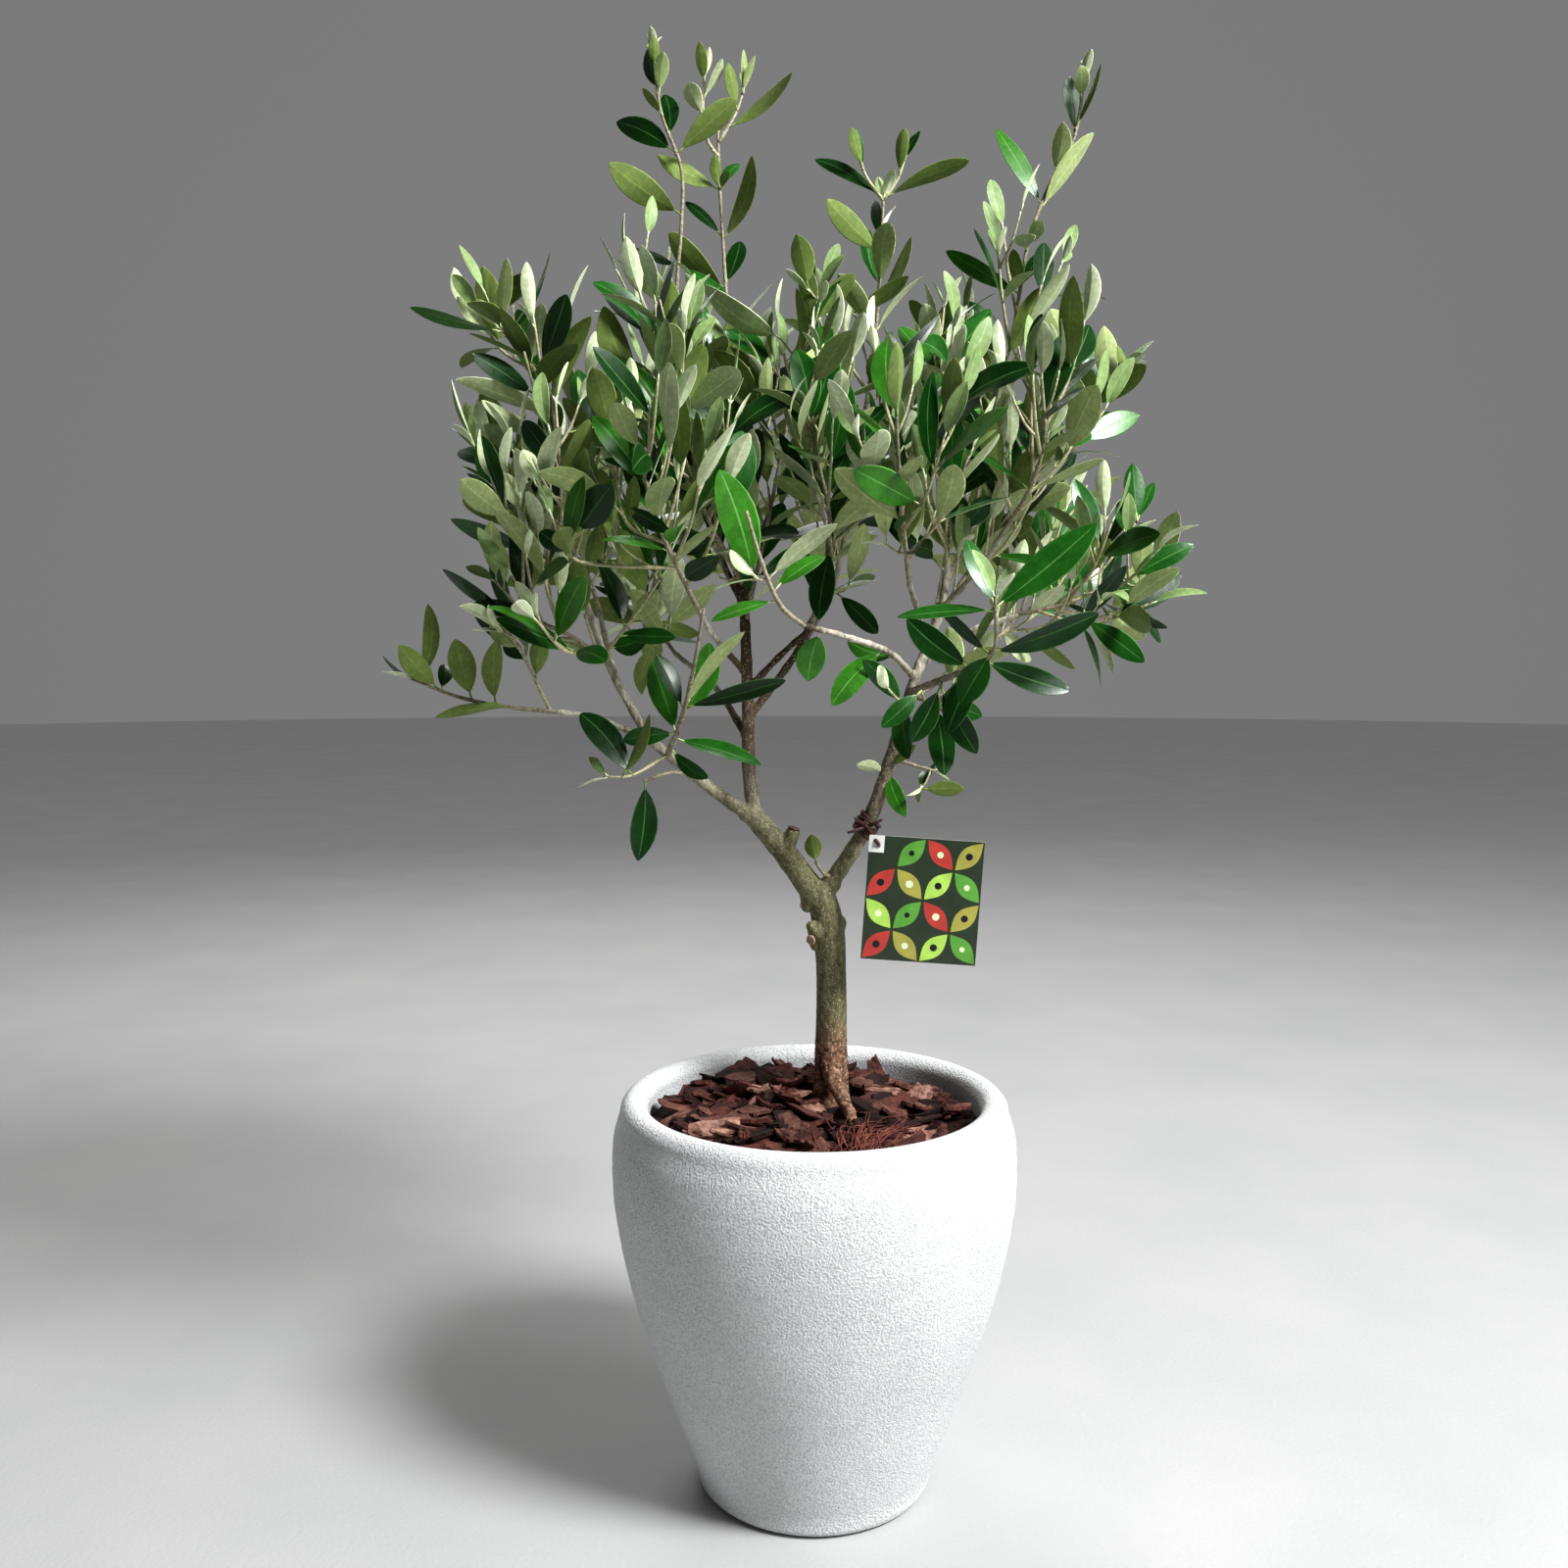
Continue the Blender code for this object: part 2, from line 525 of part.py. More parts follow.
def seated_stem(mass, limb_mesh):
    """A mass's stem, moved out along or away from its limb until its foot is just clear of it."""
    path = limb_path(mass.limb)
    way = to_metres(mass.way)
    axis, along = point_at(path, mass.at * path_lengths(path)[-1])
    heading = (way[0] - axis).normalized()
    at_tip = mass.at == 1
    away = along if at_tip else (heading - along * heading.dot(along)).normalized()
    limb_tree = tree_of(limb_mesh)
    offset = 0.0
    while tree_of(twig_mesh(stem_from(axis + away * offset, way), STEM_RADIUS)).overlap(limb_tree):
        offset += SEAT_STEP
    if at_tip:
        offset += GAP
    return stem_from(axis + away * offset, way)


def stem_from(start, way):
    return coarse(smooth_path([start, *way], FINE_STEP))


def tree_of(mesh):
    return BVHTree.FromPolygons([vertex.co for vertex in mesh.vertices],
                                [list(face.vertices) for face in mesh.polygons])


def square_to(direction, bearing):
    """Unit vector square to a direction, at a bearing about it."""
    side = direction.cross(Vector((0.0, 1.0, 0.0)) if abs(direction.y) < 0.9 else Vector((1.0, 0.0, 0.0)))
    side.normalize()
    return side * math.cos(bearing) + direction.cross(side) * math.sin(bearing)


def shoot_choices(name, mass, stem):
    """For each side shoot up the stem, fine paths at several bearings that bend up to the light."""
    rng = random.Random(f"{SEED} {name} shoots")
    total = path_lengths(stem)[-1]
    bearing = rng.uniform(0, math.tau)
    shoots = []
    for k in range(mass.shoots):
        share = FIRST_SHOOT + (mass.crown - FIRST_SHOOT) * (k + 0.5) / mass.shoots
        place, along = point_at(stem, share * total)
        angle = SHOOT_ANGLE * rng.uniform(0.85, 1.15)
        length = mass.spread * MM * rng.uniform(0.86, 1.14) * (1.1 - 0.4 * share)
        steps = round(length / FINE_STEP)
        choices = []
        for turn in SHOOT_TURNS:
            heading = along * math.cos(angle) + square_to(along, bearing + turn) * math.sin(angle)
            path = [place]
            for _ in range(steps):
                heading = (heading + UP * SHOOT_LIFT / steps).normalized()
                path.append(path[-1] + heading * (length / steps))
            choices.append(path)
        shoots.append(choices)
        bearing += SHOOT_TWIST + rng.uniform(-0.3, 0.3)
    return shoots


def leaf_frame(along, bearing, angle, twist):
    """Direction of a leaf and of its upper face, which looks toward the shoot's tip."""
    direction = along * math.cos(angle) + square_to(along, bearing) * math.sin(angle)
    direction = (direction + UP * LEAF_LIFT).normalized()
    light = along + UP * LIGHT_SHARE * (1.0 - abs(along.z))
    face = (light - direction * light.dot(direction)).normalized()
    return direction, Matrix.Rotation(twist, 3, direction) @ face


def shoot_leaves(path, rng, mass, sides):
    """Choices of leaf for every place on a shoot: pairs at each node and young leaves at the tip."""
    total = path_lengths(path)[-1]
    nodes = max(0, int((total - FIRST_PAIR) / (mass.internode * MM)))
    widest = math.radians(mass.angle)
    bearing = rng.uniform(0, math.tau)
    places = []
    for node in range(nodes + 1):
        share = node / nodes if nodes else 1.0
        last = node == nodes
        spot, along = point_at(path, total - (nodes - node) * mass.internode * MM)
        for side in sides[:1] if last else sides:
            turn = bearing + side + rng.uniform(-0.25, 0.25)
            angle = widest + (LEAF_ANGLE_LAST - widest) * share
            angle = TIP_ANGLE if last else angle * rng.uniform(0.85, 1.15)
            size = TIP_LEAF if last else 1.0 - 0.25 * abs(share - 0.4)
            size *= rng.uniform(0.88, 1.1)
            twist = rng.gauss(0.0, 0.3)
            choices = []
            for fold in FOLD_TRIES:
                direction, face = leaf_frame(along, turn, angle * fold, twist)
                choices.append(Leaf(spot, direction, face, size * mass.leaf * MM))
            places.append(choices)
        bearing += math.pi / 2 + rng.uniform(-0.2, 0.2)
    return places


def leaf_matrix(leaf, start=0.0, slack=0.0):
    """Places a unit sphere of three sides as a leaf: width on X, face on Y, length on Z."""
    width_axis = leaf.face.cross(leaf.direction)
    turn = Matrix((width_axis, leaf.face, leaf.direction)).transposed().to_4x4()
    back = ROOT_SINK * (1.0 - bool(start))
    centre = leaf.root + leaf.direction * (leaf.length * (1.0 + start) - back) / 2
    half = Vector(((leaf.length * LEAF_WIDTH / 2 + slack) / math.cos(math.pi / 6),
                   LEAF_KEEL + slack,
                   (leaf.length * (1.0 - start) + back) / 2))
    return Matrix.Translation(centre) @ turn @ Matrix.Diagonal(half).to_4x4()


def leaf_mesh(leaf, name="leaf", start=0.0, slack=0.0):
    """Six faces: points at root and tip, one on each side and a keel under the middle."""
    bm = bmesh.new()
    keel_down = Matrix.Rotation(-math.pi / 2, 4, "Z")
    bmesh.ops.create_uvsphere(bm, u_segments=3, v_segments=2, radius=1.0,
                              matrix=leaf_matrix(leaf, start, slack) @ keel_down)
    return bmesh_to_mesh(bm, name)


class Room:
    """What is taken already, and the share of the crown that each stem holds."""

    def __init__(self, limbs, stems):
        self.taken = [self.entry(mesh) for mesh in limbs]
        self.stems = {name: divided(path, FINE_STEP) for name, path in stems.items()}

    @staticmethod
    def entry(mesh):
        spots = [vertex.co for vertex in mesh.vertices]
        middle = sum(spots, Vector()) / len(spots)
        reach = max((spot - middle).length for spot in spots)
        return middle, reach, tree_of(mesh)

    def is_free(self, mesh):
        middle, reach, tree = self.entry(mesh)
        for other_middle, other_reach, other_tree in self.taken:
            if (middle - other_middle).length < reach + other_reach and tree.overlap(other_tree):
                return False
        return True

    def take(self, mesh):
        self.taken.append(self.entry(mesh))

    def holds(self, name, spot):
        """True where a spot is nearer to this mass's stem than to any other."""
        own = min((spot - place).length for place in self.stems[name])
        for other, places in self.stems.items():
            if other != name and min((spot - place).length for place in places) < own + CLEAR:
                return False
        return True


def part_of(path, start, end):
    """The part of a path between two distances."""
    inner = [spot for spot, at in zip(path, path_lengths(path)) if start + 1 * MM < at < end - 1 * MM]
    return [point_at(path, start)[0], *inner, point_at(path, end)[0]]


def divided(path, step):
    """Points on a path, about a step apart."""
    total = path_lengths(path)[-1]
    count = max(2, round(total / step))
    return [point_at(path, total * k / count)[0] for k in range(count + 1)]


def coarse(path):
    return divided(path, TWIG_STEP)


def twig_mesh(path, radius, name="twig", skip=0.0, slack=0.0):
    if skip:
        path = part_of(path, skip, path_lengths(path)[-1])
    radii = [size + slack for size in taper(path, *radius)]
    return tube_mesh(name, path, radii, TWIG_SIDES)


def cut_to_space(path, name, room):
    """The part of a side shoot that stays in its mass's space."""
    kept = [path[0]]
    for spot in path[1:]:
        if not room.holds(name, spot):
            break
        kept.append(spot)
    return kept


def grow_shoots(room, stems):
    """For each mass, the side shoots that have room: of each one's choices, the longest that fits."""
    shoots = {}
    for name, mass in MASSES.items():
        shoots[name] = []
        for choices in shoot_choices(name, mass, stems[name]):
            paths = [cut_to_space(path, name, room) for path in choices]
            paths.sort(key=len, reverse=True)
            for path in paths:
                if path_lengths(path)[-1] < SHORTEST_SHOOT:
                    continue
                path = coarse(path)
                trial = twig_mesh(path, SHOOT_RADIUS, skip=SHOOT_SKIP, slack=CLEAR)
                if room.is_free(trial):
                    shoots[name].append(path)
                    room.take(trial)
                    break
    return shoots


def leaf_fits(leaf, name, room):
    side = leaf.direction.cross(leaf.face) * leaf.length * LEAF_WIDTH / 2
    middle = leaf.root + leaf.direction * leaf.length / 2
    outline = (leaf.root + leaf.direction * leaf.length, middle + side, middle - side)
    return all(room.holds(name, spot) for spot in outline)


def grow_leaves(room, stems, shoots):
    """For each mass, the leaves that stay in its space and touch nothing."""
    leaves = {}
    for name, mass in MASSES.items():
        rng = random.Random(f"{SEED} {name} leaves")
        leaves[name] = []
        sides = (0.0,) if name in ONE_LEAF else (0.0, math.pi)
        for path in (stems[name], *shoots[name]):
            for choices in shoot_leaves(path, rng, mass, sides):
                for leaf in choices:
                    if not leaf_fits(leaf, name, room):
                        continue
                    trial = leaf_mesh(leaf, start=ROOT_SHARE, slack=CLEAR / 2)
                    if room.is_free(trial):
                        leaves[name].append(leaf)
                        room.take(trial)
                        break
    return leaves


def keep_largest_shell(item):
    """Drops loose scraps and fills sealed hollows, which are the smaller shells of a mesh."""
    bm = bmesh.new()
    bm.from_mesh(item.data)
    left = set(bm.verts)
    shells = []
    while left:
        stack = [left.pop()]
        shell = set(stack)
        while stack:
            for edge in stack.pop().link_edges:
                for vertex in edge.verts:
                    if vertex in left:
                        left.discard(vertex)
                        shell.add(vertex)
                        stack.append(vertex)
        shells.append(shell)
    largest = max(shells, key=len)
    bmesh.ops.delete(bm, geom=[vertex for vertex in bm.verts if vertex not in largest], context="VERTS")
    bm.to_mesh(item.data)
    bm.free()


def build_masses(group, cutters, look):
    stems = {name: seated_stem(mass, cutters.objects[f"clearance_{mass.limb}"].data)
             for name, mass in MASSES.items()}
    room = Room([item.data for item in cutters.objects if item.type == "MESH"], stems)
    for stem in stems.values():
        room.take(twig_mesh(stem, STEM_RADIUS, skip=STEM_SKIP, slack=CLEAR))
    shoots = grow_shoots(room, stems)
    leaves = grow_leaves(room, stems, shoots)
    for name, stem in stems.items():
        item = place_mesh(twig_mesh(stem, STEM_RADIUS, name), name, group, look)
        pieces = new_collection(f"pieces_{name}")
        for path in shoots[name]:
            place_mesh(twig_mesh(path, SHOOT_RADIUS), "twig", pieces)
        for leaf in leaves[name]:
            place_mesh(leaf_mesh(leaf), "leaf", pieces)
        join_collection(item, pieces)
        keep_largest_shell(item)
        print(name, "shoots", len(shoots[name]), "leaves", len(leaves[name]))
    return sum(len(found) for found in leaves.values())


# ---------------------------------------------------------------- tie and tag

def tag_frame():
    return Matrix.Translation(TAG_CORNER) @ Matrix.Rotation(TAG_LEAN, 4, "Y")


def build_tie(group, look):
    """Wire wound round the right bough, with an end through the tag's hole."""
    path = limb_path("right_bough")
    total = path_lengths(path)[-1]
    limb = LIMBS["right_bough"]
    centre, along = point_at(path, TIE_LIMB_SHARE * total)
    radius = (limb.root + (limb.tip - limb.root) * TIE_LIMB_SHARE) * MM + TIE_WIRE + 2.5 * GAP
    count = TIE_STEPS * TIE_TURNS
    route = []
    for k in range(count + 1):
        turn = math.tau * TIE_TURNS * k / count
        rise = TIE_PITCH * TIE_TURNS * (0.5 - k / count)
        route.append(centre + square_to(along, turn) * radius + along * rise)
    hole = tag_frame() @ TAG_HOLE
    leave = route[-1] + (route[-1] - route[-2]).normalized() * 5 * MM
    route += [leave, hole + Vector((0.0, 6.0, 2.5)) * MM, hole, hole + Vector((1.0, -6.0, -3.0)) * MM]
    mesh = tube_mesh("tie", route, [TIE_WIRE] * len(route), 4)
    return place_mesh(mesh, "tie", group, look, smooth=True)


def build_tag(group, look):
    """Card with a hole at its upper left corner."""
    width, height = TAG_SIZE
    curve = bpy.data.curves.new("tag", "CURVE")
    curve.dimensions = "2D"
    curve.fill_mode = "BOTH"
    curve.extrude = TAG_THICK / 2
    hole = [(TAG_HOLE.x + TAG_HOLE_RADIUS * math.cos(math.tau * k / 12),
             TAG_HOLE.z + TAG_HOLE_RADIUS * math.sin(math.tau * k / 12)) for k in range(12)]
    for outline in (((0, 0), (width, 0), (width, -height), (0, -height)), hole):
        spline = curve.splines.new("POLY")
        spline.points.add(len(outline) - 1)
        for knot, (x, y) in zip(spline.points, outline):
            knot.co = (x, y, 0.0, 1.0)
        spline.use_cyclic_u = True
    flat = bpy.data.objects.new("tag_outline", curve)
    group.objects.link(flat)
    mesh = evaluated_mesh(flat)
    bpy.data.objects.remove(flat, do_unlink=True)
    bm = bmesh.new()
    bm.from_mesh(mesh)
    bmesh.ops.remove_doubles(bm, verts=bm.verts, dist=0.01 * MM)
    item = place_mesh(bmesh_to_mesh(bm, "tag"), "tag", group, look)
    item.matrix_world = tag_frame() @ Matrix.Rotation(math.pi / 2, 4, "X")
    return item


def main():
    clear_scene()
    plant = new_collection("potted_olive_tree")
    cutters = new_collection("cutters")
    cutters.hide_render = True
    bark = material("bough_bark", BOUGH_BARK)
    build_pot(plant, material("white_glaze", WHITE_GLAZE))
    build_soil(plant, material("dark_soil", DARK_SOIL))
    build_trunk(plant, material("trunk_bark", TRUNK_BARK))
    build_trunk(cutters, None, "clearance_trunk", GAP)
    mulch = build_mulch(plant, material("bark_chips", BARK_CHIPS))
    boolean(mulch, "DIFFERENCE", cutters.objects["clearance_trunk"])
    build_limbs(plant, cutters, bark)
    count = build_masses(plant, cutters, material("leaf_green", LEAF_GREEN))
    build_tag(plant, material("tag_print", TAG_PRINT))
    build_tie(plant, material("tie_brown", TIE_BROWN))
    for item in cutters.objects:
        item.display_type = "WIRE"
        item.hide_render = True
    print("leaves", count)


main()
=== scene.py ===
"""Looks of the potted olive tree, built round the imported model.

Metres, +Z up, in the CAD's own frame. The limbs and the growth rule are those of the CAD source,
with a few ways read again from the photograph. They are carried on here to the bark, the finer
twigs and leaves of life size.
"""

import math
import random
from collections import namedtuple

import bmesh
import bpy
import numpy as np
from mathutils import Matrix, Vector, noise
from mathutils.bvhtree import BVHTree


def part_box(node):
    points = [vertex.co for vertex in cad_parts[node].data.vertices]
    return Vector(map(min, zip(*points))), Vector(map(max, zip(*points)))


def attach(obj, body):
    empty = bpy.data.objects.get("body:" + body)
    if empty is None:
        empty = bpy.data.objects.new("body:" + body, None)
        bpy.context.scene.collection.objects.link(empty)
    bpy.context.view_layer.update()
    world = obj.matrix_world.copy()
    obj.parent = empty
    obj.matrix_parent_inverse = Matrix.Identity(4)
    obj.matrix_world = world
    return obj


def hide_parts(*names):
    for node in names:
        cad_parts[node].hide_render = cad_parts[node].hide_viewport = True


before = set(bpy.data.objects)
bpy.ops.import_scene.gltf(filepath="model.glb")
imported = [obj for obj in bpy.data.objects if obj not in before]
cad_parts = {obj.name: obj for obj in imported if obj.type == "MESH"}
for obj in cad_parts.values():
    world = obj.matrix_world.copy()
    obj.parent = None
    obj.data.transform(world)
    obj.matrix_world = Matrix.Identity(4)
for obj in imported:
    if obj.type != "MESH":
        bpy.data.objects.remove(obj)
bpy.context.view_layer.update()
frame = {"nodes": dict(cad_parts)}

MM = 0.001
UP = Vector((0.0, 0.0, 1.0))
SEED = 41

# ---------------------------------------------------------------- camera and light

CAMERA_PLACE = (-0.0188, -0.8838, 0.5179)
CAMERA_DOWN = math.radians(4.99)
SENSOR_MM = 36.0
LENS_MM = 1480 / 1600 * SENSOR_MM
LIT_PLACE = (0.0, 0.0, 0.45)
SKY = (0.06, 0.205)              # brightness of the room before the plant and behind it


def aim(item, target):
    item.rotation_euler = (Vector(target) - item.location).to_track_quat("-Z", "Y").to_euler()


def add_light(name, kind, place, power, colour, **settings):
    data = bpy.data.lights.new(name, kind)
    data.energy = power
    data.color = colour
    for key, value in settings.items():
        setattr(data, key, value)
    item = bpy.data.objects.new(name, data)
    item.location = place
    bpy.context.scene.collection.objects.link(item)
    aim(item, LIT_PLACE)


def add_map_range(tree, value, *ends):
    """Maps a value's range, the first two ends, onto the last two."""
    made = tree.nodes.new("ShaderNodeMapRange")
    for socket, number in zip(("From Min", "From Max", "To Min", "To Max"), ends):
        made.inputs[socket].default_value = number
    tree.links.new(value, made.inputs["Value"])
    return made.outputs["Result"]


def build_studio():
    data = bpy.data.cameras.new("camera")
    data.sensor_width = SENSOR_MM
    data.lens = LENS_MM
    data.clip_start = 0.01
    camera = bpy.data.objects.new("camera", data)
    camera.location = CAMERA_PLACE
    camera.rotation_euler = (math.pi / 2 - CAMERA_DOWN, 0.0, 0.0)
    bpy.context.scene.collection.objects.link(camera)
    bpy.context.scene.camera = camera
    add_light("key", "AREA", (1.28, -1.02, 1.82), 80.0, (0.98, 0.99, 1.0), shape="DISK", size=0.7)
    add_light("fill", "AREA", (-1.7, -1.3, 1.0), 0.6, (0.95, 0.98, 1.0), shape="DISK", size=1.5)
    add_light("back", "AREA", (-0.4, 1.6, 1.9), 20.0, (1.0, 1.0, 1.0), shape="DISK", size=1.2)
    add_light("room", "SUN", (1.45, -0.75, 1.85), 1.0, (1.0, 1.0, 1.0), angle=math.radians(40))
    world = bpy.data.worlds.new("studio")
    world.use_nodes = True
    tree = world.node_tree
    way = tree.nodes.new("ShaderNodeTexCoord")
    split = tree.nodes.new("ShaderNodeSeparateXYZ")
    tree.links.new(way.outputs["Generated"], split.inputs["Vector"])
    pale = add_map_range(tree, split.outputs["Y"], -1.0, 1.0, *SKY)
    tree.links.new(pale, tree.nodes["Background"].inputs["Color"])
    bpy.context.scene.world = world
    bpy.context.scene.view_settings.view_transform = "Standard"
    bpy.context.scene.view_settings.look = "Medium High Contrast"


# ---------------------------------------------------------------- materials

class Look:
    """Procedural material: a principled shader, with helpers that add the textures that feed it."""

    def __init__(self, name, roughness, coat=0.0, sheen=0.0, specular=0.5):
        self.material = bpy.data.materials.new(name)
        self.material.use_nodes = True
        self.tree = self.material.node_tree
        self.shader = self.tree.nodes["Principled BSDF"]
        self.shader.inputs["Roughness"].default_value = roughness
        self.shader.inputs["Coat Weight"].default_value = coat
        self.shader.inputs["Coat Roughness"].default_value = 0.18
        self.shader.inputs["Sheen Weight"].default_value = sheen
        self.shader.inputs["Sheen Roughness"].default_value = 0.4
        self.shader.inputs["Specular IOR Level"].default_value = specular
        self.place = self.tree.nodes.new("ShaderNodeTexCoord").outputs["Object"]
        self.normal = None

    def texture(self, kind, place, **numbers):
        """Node that reads a place, with numbers for its other sockets."""
        made = self.tree.nodes.new(kind)
        for socket, number in numbers.items():
            made.inputs[socket].default_value = number
        self.tree.links.new(place, made.inputs["Vector"])
        return made.outputs

    def stretched(self, stretch):
        if stretch is None:
            return self.place
        return self.texture("ShaderNodeMapping", self.place, Scale=stretch)["Vector"]

    def noise(self, scale, detail=3.0, stretch=None, distortion=0.0):
        return self.texture("ShaderNodeTexNoise", self.stretched(stretch), Scale=scale, Detail=detail,
                            Distortion=distortion)["Fac"]

    def cells(self, scale, stretch=None):
        return self.texture("ShaderNodeTexVoronoi", self.stretched(stretch), Scale=scale)["Distance"]

    def along(self, axis, ends):
        """0 at one place along an axis and 1 at another."""
        split = self.texture("ShaderNodeSeparateXYZ", self.place)
        return add_map_range(self.tree, split[axis], *ends, 0.0, 1.0)

    def ramp(self, value, *stops):
        """Colour that runs through stops of (position, colour)."""
        made = self.tree.nodes.new("ShaderNodeValToRGB")
        while len(made.color_ramp.elements) < len(stops):
            made.color_ramp.elements.new(0.5)
        for element, (position, colour) in zip(made.color_ramp.elements, stops):
            element.position = position
            element.color = (*colour, 1.0)
        self.tree.links.new(value, made.inputs["Fac"])
        return made.outputs["Color"]

    def mix(self, share, a, b, blend="MIX"):
        made = self.tree.nodes.new("ShaderNodeMix")
        made.data_type = "RGBA"
        made.blend_type = blend
        for socket, value in ((0, share), (6, a), (7, b)):
            if isinstance(value, bpy.types.NodeSocket):
                self.tree.links.new(value, made.inputs[socket])
            elif socket == 0:
                made.inputs[socket].default_value = value
            else:
                made.inputs[socket].default_value = (*value, 1.0)
        return made.outputs[2]

    def times(self, a, b):
        return self.mix(1.0, a, b, "MULTIPLY")

    def colour(self, socket):
        self.tree.links.new(socket, self.shader.inputs["Base Color"])

    def dyed(self, value, dark, light, margin=0.3):
        """Base colour that runs from dark to light with a value, even in both margins of its range."""
        self.colour(self.ramp(value, (margin, dark), (1.0 - margin, light)))

    def roughness(self, value, low, high):
        self.tree.links.new(add_map_range(self.tree, value, 0.3, 0.7, low, high),
                            self.shader.inputs["Roughness"])

    def bump(self, value, depth, strength=1.0):
        made = self.tree.nodes.new("ShaderNodeBump")
        made.inputs["Distance"].default_value = depth
        made.inputs["Strength"].default_value = strength
        self.tree.links.new(value, made.inputs["Height"])
        if self.normal is not None:
            self.tree.links.new(self.normal, made.inputs["Normal"])
        self.normal = made.outputs["Normal"]
        self.tree.links.new(self.normal, self.shader.inputs["Normal"])


PLAIN = (1.0, 1.0, 1.0)          # leaves a colour as it is


def shaded(colour, share):
    return tuple(channel * share for channel in colour)


def pot_look():
    look = Look("white_glaze", 0.6, specular=0.4)
    grain = look.noise(760.0)
    base = look.ramp(look.noise(14.0, 4.0), (0.35, (0.645, 0.65, 0.655)), (0.65, (0.715, 0.72, 0.725)))
    pits = look.ramp(grain, (0.36, (0.74, 0.745, 0.75)), (0.58, (1.03, 1.03, 1.03)))
    specks = look.ramp(look.cells(150.0), (0.028, (0.35, 0.33, 0.30)), (0.05, PLAIN))
    look.colour(look.times(look.times(base, pits), specks))
    look.roughness(grain, 0.5, 0.72)
    look.bump(grain, 0.0011, 0.9)
    look.bump(look.noise(1700.0, 2.0), 0.0004, 0.5)
    return look.material


def soil_look():
    look = Look("potting_soil", 0.95, specular=0.2)
    crumbs = look.noise(420.0, 5.0)
    look.dyed(crumbs, (0.012, 0.008, 0.006), (0.06, 0.036, 0.024))
    look.bump(crumbs, 0.002)
    return look.material


def chip_look(name, dark, light):
    look = Look(name, 0.88, specular=0.25)
    grain = look.noise(260.0, 5.0, distortion=0.8)
    base = look.ramp(look.noise(70.0), (0.32, dark), (0.68, light))
    streak = look.ramp(grain, (0.32, (0.42, 0.40, 0.40)), (0.55, PLAIN), (0.75, (1.25, 1.2, 1.18)))
    look.colour(look.times(base, streak))
    look.roughness(grain, 0.72, 0.95)
    look.bump(grain, 0.0012)
    look.bump(look.noise(900.0), 0.0004)
    return look.material


def fibre_look():
    look = Look("red_fibre", 0.8, specular=0.3)
    look.dyed(look.noise(90.0), (0.09, 0.022, 0.018), (0.26, 0.09, 0.065), margin=0.35)
    look.bump(look.noise(1500.0), 0.0002)
    return look.material


# Where one colour of bark gives way to the next, in metres along Z or X. The dark leader and the dusky band
# on the lower right bough are partly the bark's own darker colour and partly painted shade.
FOOT_ENDS = (0.272, 0.296)
GREYS = (0.40, 0.50)
DUSK_STARTS = (0.395, 0.415)
DUSK_ENDS = (0.495, 0.525)
LEADER_STARTS = (0.425, 0.455)
LEADER_LEFT = (-0.062, -0.052)
LEADER_RIGHT = (-0.005, 0.015)
BARK_STRETCH = ((1.0, 1.0, 0.35), (1.0, 1.0, 0.45), (1.0, 1.0, 0.7))     # of patches, grain and lenticels


def bark_look():
    """Olive grey-green bark with pale lenticels: scaly at the foot, grey up the limbs, dark on the leader
    and on the lower right bough, a darkness that is partly the bark's own and partly painted shade."""
    look = Look("olive_bark", 0.8, specular=0.3)
    patch = look.noise(60.0, 4.0, BARK_STRETCH[0])
    grain = look.noise(420.0, 4.0, BARK_STRETCH[1])
    green = look.ramp(patch, (0.32, (0.135, 0.128, 0.064)), (0.55, (0.20, 0.19, 0.105)),
                      (0.72, (0.28, 0.265, 0.165)))
    brown = look.ramp(look.noise(240.0, 4.0), (0.36, (0.060, 0.028, 0.016)), (0.58, (0.23, 0.125, 0.078)),
                      (0.72, (0.50, 0.35, 0.26)))
    grey = look.ramp(patch, (0.34, (0.25, 0.225, 0.175)), (0.66, (0.58, 0.55, 0.47)))
    # The dark leader colour and the dusky bough colour: darker bark with painted shade in it.
    dark = look.ramp(patch, (0.34, (0.040, 0.025, 0.016)), (0.66, (0.125, 0.09, 0.06)))
    dusky_and_shaded = look.ramp(patch, (0.34, (0.085, 0.068, 0.045)), (0.66, (0.215, 0.185, 0.13)))
    foot = look.mix(look.along("Z", FOOT_ENDS), brown, green)
    base = look.mix(look.along("Z", GREYS), foot, grey)
    bough = look.mix(look.along("Z", DUSK_STARTS), base, dusky_and_shaded)
    bough = look.mix(look.along("Z", DUSK_ENDS), bough, base)
    leader = look.mix(look.along("Z", LEADER_STARTS), base, dark)
    leader = look.mix(look.along("X", LEADER_LEFT), base, leader)
    base = look.mix(look.along("X", LEADER_RIGHT), leader, bough)
    tint = look.ramp(grain, (0.34, (0.55, 0.55, 0.52)), (0.52, PLAIN), (0.7, (1.3, 1.3, 1.25)))
    lenticels = look.ramp(look.cells(640.0, BARK_STRETCH[2]), (0.14, (0.75, 0.75, 0.75)),
                          (0.30, (0.0, 0.0, 0.0)))
    look.colour(look.mix(lenticels, look.times(base, tint), (0.50, 0.46, 0.34)))
    look.roughness(grain, 0.62, 0.9)
    look.bump(grain, 0.0007)
    look.bump(look.noise(1100.0), 0.0003)
    return look.material


def wood_look(name, dark, light, roughness):
    look = Look(name, roughness, specular=0.3)
    grain = look.noise(500.0, 4.0, distortion=0.6)
    look.dyed(grain, dark, light)
    look.bump(grain, 0.0006)
    return look.material


